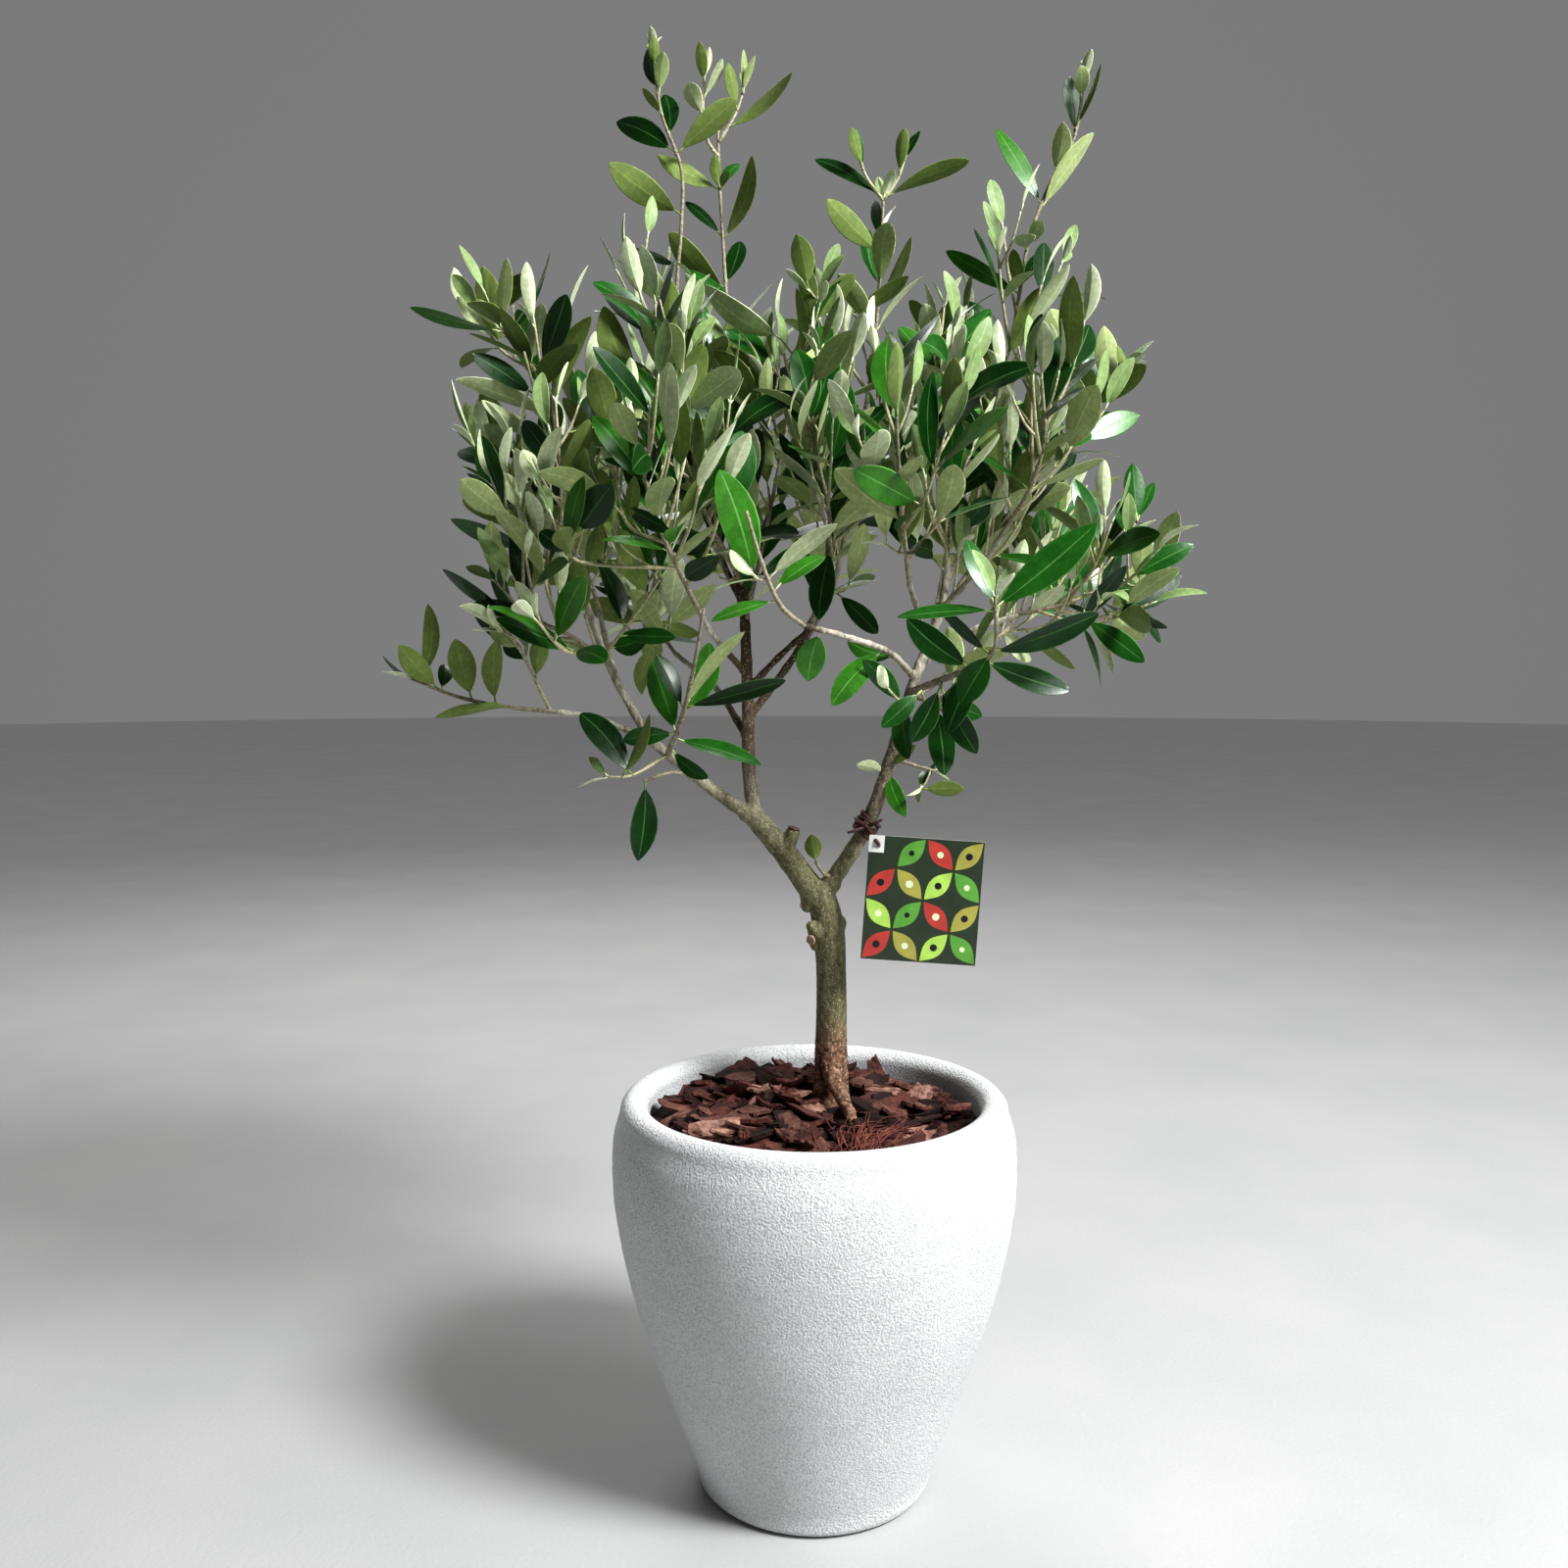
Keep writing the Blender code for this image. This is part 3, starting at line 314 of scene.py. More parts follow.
def leaf_look(name, colour, roughness, coat=0.0, sheen=0.0, contrast=0.22):
    """Leaf tissue: a plain base colour, gently mottled, with fine wrinkles."""
    look = Look(name, roughness, coat=coat, sheen=sheen, specular=0.28)
    tissue = look.ramp(look.noise(75.0), (0.3, shaded(colour, 1.0 - contrast)),
                       (0.7, shaded(colour, 1.0 + contrast)))
    net = look.ramp(look.cells(340.0), (0.3, (1.03, 1.03, 1.03)), (0.62, (0.86, 0.89, 0.80)))
    look.colour(look.times(tissue, net))
    wrinkle = look.noise(260.0, 2.0)
    look.roughness(wrinkle, roughness * 0.88, roughness * 1.15)
    look.bump(wrinkle, 0.0001, 0.7)
    return look.material


def card_look(name, colour, roughness=0.3):
    look = Look(name, roughness, coat=0.25)
    look.dyed(look.noise(110.0, 2.0), shaded(colour, 0.86), shaded(colour, 1.12))
    look.bump(look.noise(2200.0, 2.0), 0.00006)
    return look.material


def tape_look():
    look = Look("wound_tape", 0.55, specular=0.4)
    weave = look.noise(600.0, 3.0, distortion=0.5)
    look.dyed(weave, (0.028, 0.010, 0.009), (0.105, 0.045, 0.038))
    look.bump(weave, 0.0004)
    return look.material


# ---------------------------------------------------------------- paths and meshes

ROOT_CAP, TIP_CAP = 0.4, 0.6     # how far a tube's ends bulge, over their radius


def to_metres(points):
    return [Vector(point) * MM for point in points]


def smooth_path(way, step):
    """Points about a step apart on a Catmull-Rom curve through the way points."""
    ends = [2 * way[0] - way[1], *way, 2 * way[-1] - way[-2]]
    path = [way[0].copy()]
    for a, b, c, d in zip(ends, ends[1:], ends[2:], ends[3:]):
        count = max(1, round((c - b).length / step))
        for k in range(1, count + 1):
            t = k / count
            path.append(0.5 * (2 * b + (c - a) * t + (2 * a - 5 * b + 4 * c - d) * t**2
                               + (3 * b - a - 3 * c + d) * t**3))
    return path


def path_lengths(path):
    lengths = [0.0]
    for a, b in zip(path, path[1:]):
        lengths.append(lengths[-1] + (b - a).length)
    return lengths


def length_of(path):
    return path_lengths(path)[-1]


def point_at(path, distance):
    """Point and direction at a distance along a path."""
    lengths = path_lengths(path)
    for k in range(1, len(path)):
        if distance <= lengths[k] or k == len(path) - 1:
            span = lengths[k] - lengths[k - 1]
            share = min(1.0, max(0.0, (distance - lengths[k - 1]) / span))
            return path[k - 1].lerp(path[k], share), (path[k] - path[k - 1]).normalized()


def taper(path, root, tip):
    lengths = path_lengths(path)
    return [root + (tip - root) * length / lengths[-1] for length in lengths]


def divided(path, step):
    """Points on a path, about a step apart."""
    total = length_of(path)
    count = max(2, round(total / step))
    return [point_at(path, total * k / count)[0] for k in range(count + 1)]


def without_root(path, skip):
    """A path from some way up it to its tip."""
    end = length_of(path)
    inner = [spot for spot, at in zip(path, path_lengths(path)) if skip + 1 * MM < at < end - 1 * MM]
    return [point_at(path, skip)[0], *inner, point_at(path, end)[0]]


def square_to(direction, bearing):
    """Unit vector square to a direction, at a bearing about it."""
    side = direction.cross(Vector((0.0, 1.0, 0.0)) if abs(direction.y) < 0.9 else Vector((1.0, 0.0, 0.0)))
    side.normalize()
    return side * math.cos(bearing) + direction.cross(side) * math.sin(bearing)


class Shape:
    """Vertices and faces gathered into one mesh, each face with a number for its material."""

    def __init__(self):
        self.spots = []
        self.faces = []
        self.looks = []
        self.count = 0

    def add(self, spots, faces, look=0):
        """One look for all the faces, or a list with one for each."""
        self.spots.append(np.asarray(spots, float).reshape(-1, 3))
        self.faces.extend([tuple(corner + self.count for corner in face) for face in faces])
        self.looks.extend(look if isinstance(look, list) else [look] * len(faces))
        self.count += len(self.spots[-1])

    def mesh(self, name):
        made = bpy.data.meshes.new(name)
        made.from_pydata(np.concatenate(self.spots).tolist(), [], self.faces)
        made.polygons.foreach_set("material_index", self.looks)
        made.update()
        return made

    def piece(self, name, materials, smooth=True):
        return piece_from(self.mesh(name), name, materials, smooth)


def piece_from(mesh, name, materials, smooth=True):
    item = bpy.data.objects.new(name, mesh)
    bpy.context.scene.collection.objects.link(item)
    for look in materials:
        mesh.materials.append(look)
    mesh.polygons.foreach_set("use_smooth", [smooth] * len(mesh.polygons))
    return item


def settle(piece, slot_name, *nodes):
    """Attaches a finished piece to the root body, so it rides on it, and hides the CAD nodes it stands for.
    """
    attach(piece, "root")
    if nodes:
        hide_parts(*nodes)


def ring_faces(rings, sides):
    """Faces that join rings of vertices, and close both ends on the two vertices after them."""
    faces = []
    for k in range(rings - 1):
        for j in range(sides):
            a, b = k * sides + j, k * sides + (j + 1) % sides
            faces.append((a, b, b + sides, a + sides))
    tip, last = rings * sides, (rings - 1) * sides
    for j in range(sides):
        faces.append((tip, (j + 1) % sides, j))
        faces.append((tip + 1, last + j, last + (j + 1) % sides))
    return faces


def add_tube(shape, path, radii, sides, look=0, flat=1.0):
    """Closed tube along a path. A flat share under 1 makes it a band."""
    spots = []
    across = square_to((path[1] - path[0]).normalized(), 0.0)
    for k, (place, radius) in enumerate(zip(path, radii)):
        along = (path[min(k + 1, len(path) - 1)] - path[max(k - 1, 0)]).normalized()
        across = (across - along * across.dot(along)).normalized()
        other = along.cross(across)
        for j in range(sides):
            angle = math.tau * j / sides
            spots.append(place + across * math.cos(angle) * radius
                         + other * math.sin(angle) * radius * flat)
    spots += [path[0] - (path[1] - path[0]).normalized() * radii[0] * ROOT_CAP,
              path[-1] + (path[-1] - path[-2]).normalized() * radii[-1] * TIP_CAP]
    shape.add(spots, ring_faces(len(path), sides), look)


def add_revolved(shape, profile, steps, uneven=None):
    """Solid turned about Z from a profile of (radius, height) that starts and ends on the axis."""
    rings = profile[1:-1]
    turn = np.arange(steps) * math.tau / steps
    spots = []
    for radius, height in rings:
        ring = np.stack([radius * np.cos(turn), radius * np.sin(turn), np.full(steps, height)], 1)
        spots.append(ring if uneven is None else uneven(ring, radius))
    spots = [*np.concatenate(spots), (0.0, 0.0, profile[0][1]), (0.0, 0.0, profile[-1][1])]
    shape.add(spots, ring_faces(len(rings), steps))


def point_faces_out(mesh):
    """Turns a closed mesh's faces outward."""
    bm = bmesh.new()
    bm.from_mesh(mesh)
    bmesh.ops.recalc_face_normals(bm, faces=bm.faces)
    bm.to_mesh(mesh)
    bm.free()


# ---------------------------------------------------------------- pot, soil and mulch

POT_RADIUS = 125 * MM
POT_HEIGHT = 248 * MM
FOOT_RADIUS = 66 * MM
FOOT_ROUND = 8 * MM
LIP_RADIUS = 8.5 * MM
LIP_CENTRE = 111.7 * MM
POT_WALL = 9 * MM
POT_FLOOR = 14 * MM
FLOOR_ROUND = 6 * MM
# Share of the greatest radius at a share of the height, foot to shoulder.
POT_SWELL = ((0.25, 0.741), (0.50, 0.902), (0.72, 0.991), (0.88, 1.0))
POT_STEPS = 288
PROFILE_STEP = 3.5 * MM
LIP_STEPS = 16
FOOT_STEPS = 8
THROWN_DEPTH = 0.6 * MM          # of the waves and turning marks of a thrown pot
THROWN_WAVES = ((9.0, 0.5), (60.0, 0.18))        # noise on the wall: scale and share
TURNING_MARKS = (1250.0, 0.16)   # radians a metre of height, and share
SOIL_TOP = 222 * MM
MULCH_EDGE = 235 * MM
MULCH_CROWN = 242 * MM
MULCH_REACH = 99 * MM


def swell():
    return [(share * POT_RADIUS, rise * POT_HEIGHT) for rise, share in POT_SWELL]


def as_profile(way, step):
    path = smooth_path([Vector((radius, height, 0.0)) for radius, height in way], step)
    return [(spot.x, spot.y) for spot in path]


def arc(centre, radius, start, end, count):
    x, y = centre
    angles = [start + (end - start) * k / count for k in range(count + 1)]
    return [(x + radius * math.cos(angle), y + radius * math.sin(angle)) for angle in angles]


def inner_wall():
    under_lip = (LIP_CENTRE - LIP_RADIUS, POT_HEIGHT - LIP_RADIUS)
    wall = [(radius - POT_WALL, height) for radius, height in reversed(swell()[:3])]
    low = (FOOT_RADIUS + FOOT_ROUND - POT_WALL + 2 * MM, POT_FLOOR + FLOOR_ROUND)
    return [under_lip, *wall, low]


def wall_radius(height):
    wall = inner_wall()
    for (r1, z1), (r2, z2) in zip(wall, wall[1:]):
        if z2 <= height <= z1:
            return r2 + (r1 - r2) * (height - z2) / (z1 - z2)
    return wall[-1][0]


def thrown_wave(spot):
    climb, share = TURNING_MARKS
    marks = share * math.sin(spot[2] * climb + 2.0 * math.atan2(spot[1], spot[0]))
    return sum(noise.noise(Vector(spot) * scale) * share for scale, share in THROWN_WAVES) + marks


def hand_thrown(ring, radius):
    """Slight waves and turning marks of a thrown pot."""
    wave = np.array([thrown_wave(spot) for spot in ring])
    scale = 1.0 + wave * THROWN_DEPTH / max(radius, 20 * MM)
    return ring * np.stack([scale, scale, np.ones(len(ring))], 1)


def build_pot():
    outside = as_profile([(FOOT_RADIUS + FOOT_ROUND, FOOT_ROUND * 1.25), *swell(),
                          (LIP_CENTRE + LIP_RADIUS, POT_HEIGHT - LIP_RADIUS)], PROFILE_STEP)
    lip = arc((LIP_CENTRE, POT_HEIGHT - LIP_RADIUS), LIP_RADIUS, math.pi, 0.0, LIP_STEPS)
    foot = arc((FOOT_RADIUS, FOOT_ROUND), FOOT_ROUND, 0.0, -math.pi / 2, FOOT_STEPS)
    inside = list(reversed(inner_wall()))
    profile = [(0.0, POT_FLOOR), (inside[0][0] - FLOOR_ROUND, POT_FLOOR), *inside[:-1], *lip,
               *reversed(outside[1:-1]), *foot, (0.0, 0.0)]
    shape = Shape()
    add_revolved(shape, profile, POT_STEPS, hand_thrown)
    pot = shape.piece("glazed_pot", [pot_look()])
    point_faces_out(pot.data)
    settle(pot, "pot_glaze", "pot")


def mound_height(radius):
    share = min(1.0, radius / MULCH_REACH)
    return MULCH_EDGE + (MULCH_CROWN - MULCH_EDGE) * math.cos(0.5 * math.pi * share)


HEAPS = (28.0, 2.6 * MM)         # noise on the mound: scale and height
BACK_HEAP = (-45 * MM, 55 * MM, 30 * MM, 3.5 * MM)       # x, y, reach and height
BED_DEPTH = 7 * MM
BED_NOISE = (160.0, 1.2 * MM)
WALL_GAP = 0.6 * MM              # between the mulch and the pot
BED_RINGS = 24
BED_STEP = 4 * MM
CHIP_COUNT = 210
CHIP_ALONG = 8                   # points of a chip's grid
CHIP_ACROSS = 7
CHIP_LENGTH = (14, 28)           # in mm
LONG_CHIPS = 0.45                # share of the chips that are longer, and by how many mm
LONGER = (6, 16)
CHIP_BREADTH = (0.42, 0.8)       # over the length
CHIP_THICK = (2.2, 5.4)          # in mm
CHIP_SHARES = (4, 6, 4, 1)       # of the dark, red, brown and tan ones
TRUNK_ROOM = 13 * MM
ROOT_ROOM = 6 * MM


def mound_at(x, y):
    """Height of the mulch: the mound, with heaps on it."""
    scale, rise = HEAPS
    heap = noise.noise(Vector((x, y, 0.0)) * scale) * rise
    back_x, back_y, reach, height = BACK_HEAP
    back = height * math.exp(-((x - back_x)**2 + (y - back_y)**2) / reach**2)
    return mound_height(math.hypot(x, y)) + heap + back


def rough_bed(ring, _):
    """The bed under the chips follows the mound, crumbled by noise."""
    scale, rise = BED_NOISE
    out = ring.copy()
    for spot in out:
        if spot[2] > SOIL_TOP + 2 * MM:
            spot[2] = mound_at(spot[0], spot[1]) - BED_DEPTH + noise.noise(Vector(spot) * scale) * rise
    return out


def add_chip(shape, rng, place, turn, size, look):
    """Flake of bark: a ragged outline, split along the grain, thinner to its edges."""
    seed = Vector((rng.uniform(0, 90), rng.uniform(0, 90), rng.uniform(0, 90)))
    skew = rng.uniform(-0.35, 0.35)
    bow = rng.uniform(-0.05, 0.12)
    top, under = [], []
    for i in range(CHIP_ALONG):
        for j in range(CHIP_ACROSS):
            u, v = 2 * i / (CHIP_ALONG - 1) - 1, 2 * j / (CHIP_ACROSS - 1) - 1
            edge = max(abs(u), abs(v))
            x = u + 0.22 * noise.noise(seed + Vector((0.0, 2.1 * v, 5.0 * edge))) + skew * v * 0.5
            y = v * (1 - 0.28 * u * u) + 0.25 * noise.noise(seed + Vector((1.7 * u, 9.0, 4.0 * edge)))
            ridge = 0.38 * noise.noise(seed + Vector((0.8 * u, 4.6 * v, 20.0)))
            lift = bow * (u * u + v * v) * 4
            thin = 0.5 if edge > 0.99 else 1.0
            wide, deep = x / 2 * size[0], y / 2 * size[1]
            top.append((wide, deep, (thin * 0.5 + ridge + lift) * size[2]))
            under.append((wide * 0.96, deep * 0.96, (-thin * 0.5 + ridge * 0.4 + lift) * size[2]))
    spots = [place + turn @ Vector(spot) for spot in top + under]
    across, offset = CHIP_ACROSS, CHIP_ALONG * CHIP_ACROSS
    faces = []
    for i in range(CHIP_ALONG - 1):
        for j in range(across - 1):
            a = i * across + j
            faces.append((a, a + across, a + across + 1, a + 1))
            faces.append((offset + a, offset + a + 1, offset + a + across + 1, offset + a + across))
    border = [*range(across), *(i * across + across - 1 for i in range(1, CHIP_ALONG)),
              *reversed(range((CHIP_ALONG - 1) * across, offset - 1)),
              *(i * across for i in reversed(range(1, CHIP_ALONG - 1)))]
    for a, b in zip(border, border[1:] + border[:1]):
        faces.append((a, b, b + offset, a + offset))
    shape.add(spots, faces, look)


def build_mulch():
    chips = [chip_look("bark_dark", (0.010, 0.0035, 0.003), (0.036, 0.012, 0.010)),
             chip_look("bark_red", (0.040, 0.012, 0.009), (0.125, 0.042, 0.032)),
             chip_look("bark_brown", (0.065, 0.026, 0.019), (0.19, 0.085, 0.062)),
             chip_look("bark_tan", (0.16, 0.075, 0.055), (0.38, 0.22, 0.17))]
    shape = Shape()
    rim = (wall_radius(MULCH_EDGE) - WALL_GAP, MULCH_EDGE - BED_DEPTH)
    bottom = SOIL_TOP + 0.3 * MM
    profile = [(0.0, MULCH_CROWN - BED_DEPTH)]
    profile += [(k * BED_STEP, MULCH_EDGE) for k in range(1, BED_RINGS + 1)]
    profile += [rim, (wall_radius(bottom) - WALL_GAP, bottom), (0.0, bottom)]
    add_revolved(shape, profile, 96, rough_bed)
    rng = random.Random(SEED)
    root, _ = swelling_path(SURFACE_ROOT_WAY, BARK_STEP)
    trunk_x, trunk_y = TRUNK_WAY[0][:2]
    for k in range(CHIP_COUNT):
        layer = k / CHIP_COUNT
        length = rng.uniform(*CHIP_LENGTH) + (rng.random() < LONG_CHIPS) * rng.uniform(*LONGER)
        width = length * rng.uniform(*CHIP_BREADTH)
        size = (length * MM, width * MM, rng.uniform(*CHIP_THICK) * MM)
        radius = (MULCH_REACH - 0.42 * length * MM) * math.sqrt(rng.random())
        bearing = rng.uniform(0, math.tau)
        x, y = radius * math.cos(bearing), radius * math.sin(bearing)
        if math.hypot(x - trunk_x * MM, y - trunk_y * MM) < TRUNK_ROOM + 0.3 * length * MM:
            continue
        if min(math.hypot(x - spot.x, y - spot.y) for spot in root) < ROOT_ROOM + 0.22 * length * MM:
            continue
        lean = 0.13 + 0.15 * layer
        turn = Matrix.Rotation(rng.uniform(0, math.tau), 3, "Z")
        for axis in "YX":
            turn = turn @ Matrix.Rotation(rng.gauss(0, lean), 3, axis)
        place = Vector((x, y, mound_at(x, y) + (layer * 4.6 - 3.0) * MM))
        add_chip(shape, rng, place, turn, size, rng.choices(range(4), CHIP_SHARES)[0])
    mulch = shape.piece("bark_mulch_chips", chips, smooth=False)
    point_faces_out(mulch.data)
    settle(mulch, "bark_chips", "bark_mulch")


FIBRES = 70
TUFT_FOOT = Vector((24, -88, 238)) * MM
TUFT_HEADING = Vector((16, 50, 6)) * MM


def build_fibres():
    """Tuft of red-brown bark fibres that lies on the mulch in front."""
    rng = random.Random(f"{SEED} fibres")
    shape = Shape()
    for _ in range(FIBRES):
        start = TUFT_FOOT + Vector((rng.gauss(0, 7), rng.gauss(0, 6), rng.uniform(0, 3))) * MM
        heading = Matrix.Rotation(rng.gauss(0.0, 0.30), 3, "Z") @ TUFT_HEADING * rng.uniform(0.35, 1.05)
        sway = Vector((rng.gauss(0, 5), 0, rng.uniform(3, 9))) * MM
        way = [start + heading * t + sway * math.sin(math.pi * min(1.0, t * 1.15))
               for t in (0, 0.25, 0.5, 0.75, 1)]
        for spot in way:
            spot.z = max(spot.z, mound_at(spot.x, spot.y) - 1.5 * MM)
        path = smooth_path(way, 4 * MM)
        add_tube(shape, path, taper(path, rng.uniform(0.25, 0.5) * MM, 0.12 * MM), 4)
    settle(shape.piece("bark_fibres", [fibre_look()]), "bark_chips")


# ---------------------------------------------------------------- trunk and limbs

Limb = namedtuple("Limb", "way root tip")
Mass = namedtuple("Mass", "limb at way shoots spread crown leaf internode angle")

# Limbs: way points of the axis in mm, and radius at root and tip in mm.
LIMBS = {
    "left_limb": Limb(((4, 10, 366), (-17, 5, 396), (-41, 0, 425)), 8.4, 6.3),
    "leader": Limb(((-35, 1, 416), (-40, 3, 445), (-41, 6, 490), (-43, 13, 545), (-45, 16, 578)), 4.6, 2.7),
    "left_bough": Limb(((-38, 0, 420), (-66, -8, 441), (-104, -20, 473)), 4.3, 2.8),
    "left_upper": Limb(((-99, -18, 468), (-124, -16, 515), (-141, -11, 563)), 2.6, 1.9),
    "left_long": Limb(((-101, -19, 470), (-130, -27, 482), (-152, -30, 486)), 2.1, 1.6),
    "left_back": Limb(((-120, -16, 508), (-130, 22, 530), (-138, 56, 550)), 2.0, 1.6),
    "left_front": Limb(((-82, -13, 454), (-86, -38, 462), (-80, -58, 474)), 2.3, 1.7),
    "leader_low_front": Limb(((-42, 9, 508), (-60, -26, 530), (-68, -44, 545)), 2.2, 1.7),
    "leader_left": Limb(((-43, 13, 548), (-60, 14, 584), (-69, 15, 612)), 2.2, 1.7),
    "leader_right": Limb(((-42, 7, 497), (-22, 2, 518), (-2, -8, 536)), 2.2, 1.7),
    "leader_tall": Limb(((-41, 5, 480), (-10, 20, 522), (10, 26, 558), (17, 28, 582)), 2.6, 1.8),
    "leader_back": Limb(((-43, 12, 536), (-48, 46, 564), (-53, 76, 588)), 2.2, 1.7),
    "leader_low_back": Limb(((-41, 5, 468), (-62, 44, 498), (-90, 74, 520)), 2.4, 1.7),
    "middle_back": Limb(((-12, 19, 519), (-2, 54, 540), (8, 84, 558)), 2.0, 1.6),
    "right_bough": Limb(
        ((8, 11, 374), (33, 6, 416), (48, 0, 462), (61, -4, 507), (76, 3, 545), (81, 9, 578)),
        5.4, 2.0),
    "right_front": Limb(((58, -3, 497), (71, -49, 505), (86, -98, 513)), 2.3, 1.8),
    "front_long": Limb(((60, -4, 506), (42, -34, 521), (14, -66, 530), (-8, -92, 535)), 2.1, 1.6),
    "right_low": Limb(((64, -3, 514), (92, -12, 533), (120, -18, 543)), 2.2, 1.7),
    "right_low_back": Limb(((57, -3, 491), (84, 30, 508), (108, 58, 520)), 2.3, 1.7),
    "right_back": Limb(((70, 0, 529), (78, 34, 552), (84, 62, 572)), 2.1, 1.6),
    "right_middle": Limb(((67, -2, 521), (60, -26, 544), (53, -46, 560)), 2.0, 1.6),
    "right_tall": Limb(((79, 6, 560), (92, 14, 588), (99, 18, 612)), 2.0, 1.7),
    "right_high_front": Limb(((76, 3, 546), (96, -24, 570), (106, -44, 588)), 2.0, 1.6),
}

# Leaf masses: the limb they grow from, the share of its length where they leave it, way points of
# the stem in mm, number and length in mm of side shoots, share of the stem up to which they grow,
# leaf length and distance between pairs in mm, and how wide the first pair opens in degrees.
MASSES = {
    "leaves_far_left": Mass("left_long", 1, ((-200, -32, 492), (-238, -34, 506)), 3, 54, 0.7, 42, 22, 54),
    "leaves_left_low": Mass(
        "left_upper", 0.5, ((-142, -34, 530), (-158, -42, 538), (-178, -48, 549), (-184, -50, 562)),
        4, 62, 0.8, 46, 20, 54),
    "leaves_left_middle": Mass("left_upper", 0.8, ((-168, -2, 584), (-196, 4, 644)),
        4, 64, 0.8, 46, 20, 54),
    "leaves_left_top": Mass("left_upper", 1, ((-154, -6, 640), (-163, -4, 684), (-198, 0, 722)),
        5, 60, 0.8, 46, 23, 60),
    "leaves_left_back": Mass("left_back", 1, ((-156, 88, 598), (-168, 106, 660)), 4, 66, 0.8, 48, 23, 56),
    "leaves_front_left": Mass("left_front", 1, ((-70, -82, 504), (-62, -98, 544)), 3, 54, 0.7, 46, 20, 68),
    "leaves_front_left_high": Mass("leader_low_front", 1, ((-88, -84, 592), (-100, -104, 646)),
        4, 66, 0.8, 47, 20, 54),
    "leaves_centre_left": Mass("leader", 0.9, ((-72, -38, 620), (-98, -54, 716)), 4, 64, 0.8, 47, 21, 54),
    "leaves_tall_left": Mass(
        "leader_left", 1, ((-84, 19, 714), (-80, 20, 806), (-93, 19, 845), (-97, 19, 876)),
        3, 62, 0.36, 44, 31, 50),
    "leaves_tall_middle": Mass("leader", 1, ((-52, 25, 702), (-58, 30, 804), (-59, 30, 838)),
        3, 64, 0.36, 44, 31, 50),
    "leaves_centre_top": Mass("leader", 0.75, ((-24, -6, 620), (-10, -6, 690), (4, -4, 734)),
        3, 58, 0.8, 45, 21, 54),
    "leaves_centre_front": Mass("leader_right", 1, ((8, -30, 600), (-6, -42, 654), (2, -46, 690)),
        4, 60, 0.8, 46, 21, 54),
    "leaves_tall_right": Mass("leader_tall", 1, ((36, 30, 702), (41, 30, 774), (42, 30, 798)),
        4, 62, 0.5, 44, 27, 50),
    "leaves_back_centre": Mass("leader_back", 1, ((-64, 122, 648), (-60, 138, 712)),
        4, 66, 0.8, 48, 24, 56),
    "leaves_back_left": Mass("leader_low_back", 1, ((-118, 122, 558), (-134, 148, 604)),
        4, 70, 0.8, 47, 21, 54),
    "leaves_back_middle": Mass("middle_back", 1, ((18, 138, 604), (22, 166, 656)), 4, 68, 0.8, 48, 23, 56),
    "leaves_right_centre": Mass("right_bough", 1, ((80, 4, 640), (70, -10, 704)), 4, 58, 0.8, 46, 21, 54),
    "leaves_front_right": Mass("right_front", 1, ((90, -138, 525), (86, -158, 548)),
        2, 44, 0.6, 60, 19, 78),
    "leaves_front": Mass("front_long", 1, ((-24, -118, 550), (-38, -136, 592)), 3, 54, 0.7, 52, 21, 66),
    "leaves_right_low": Mass("right_low", 1, ((152, -22, 551), (180, -20, 564)), 4, 66, 0.85, 44, 20, 54),
    "leaves_under_right": Mass("right_bough", 0.6, ((66, -26, 492), (78, -52, 484)),
        2, 40, 0.7, 44, 20, 66),
    "leaves_back_low": Mass("right_low_back", 1, ((142, 102, 550), (156, 122, 596)),
        4, 70, 0.8, 47, 21, 54),
    "leaves_back_right": Mass("right_back", 1, ((96, 110, 624), (104, 132, 682)), 4, 68, 0.8, 48, 23, 56),
    "leaves_front_centre": Mass("right_middle", 1, ((44, -84, 612), (40, -104, 664)),
        4, 64, 0.8, 47, 20, 54),
    "leaves_right_top": Mass("right_bough", 0.84, ((120, 4, 608), (156, 2, 654), (180, -2, 682)),
        4, 62, 0.85, 46, 20, 54),
    "leaves_tall_far_right": Mass(
        "right_tall", 1, ((120, 30, 704), (134, 30, 784), (157, 30, 830), (163, 29, 866)),
        4, 60, 0.5, 44, 27, 50),
    "leaves_front_far_right": Mass("right_high_front", 1, ((122, -78, 624), (118, -98, 664)),
        4, 62, 0.8, 47, 21, 54),
    "leaves_right_sprig": Mass("right_bough", 0.42, ((62, -4, 452), (74, -8, 449)), 0, 0, 0, 30, 12, 60),
    "leaf_hanging": Mass("left_bough", 0.5, ((-92, -32, 451), (-100, -38, 446)), 0, 0, 0, 76, 60, 60),
    "leaf_at_fork": Mass("right_bough", 0.04, ((5, 3, 385), (1, 2, 392)), 0, 0, 0, 32, 60, 40),
}

TRUNK_WAY = ((11, 19, 222.3, 16.5), (11, 19, 236, 12.2), (11, 18, 262, 10.4),
             (11, 15, 316, 9.4), (9, 12, 349, 9.9), (4, 10, 372, 8.8))
SURFACE_ROOT_WAY = ((10, 14, 264, 5.6), (12, 3, 256, 5.0), (15, -10, 251, 4.3), (19, -26, 247, 3.6),
                    (22, -38, 243, 3.0), (23, -45, 238, 2.2))
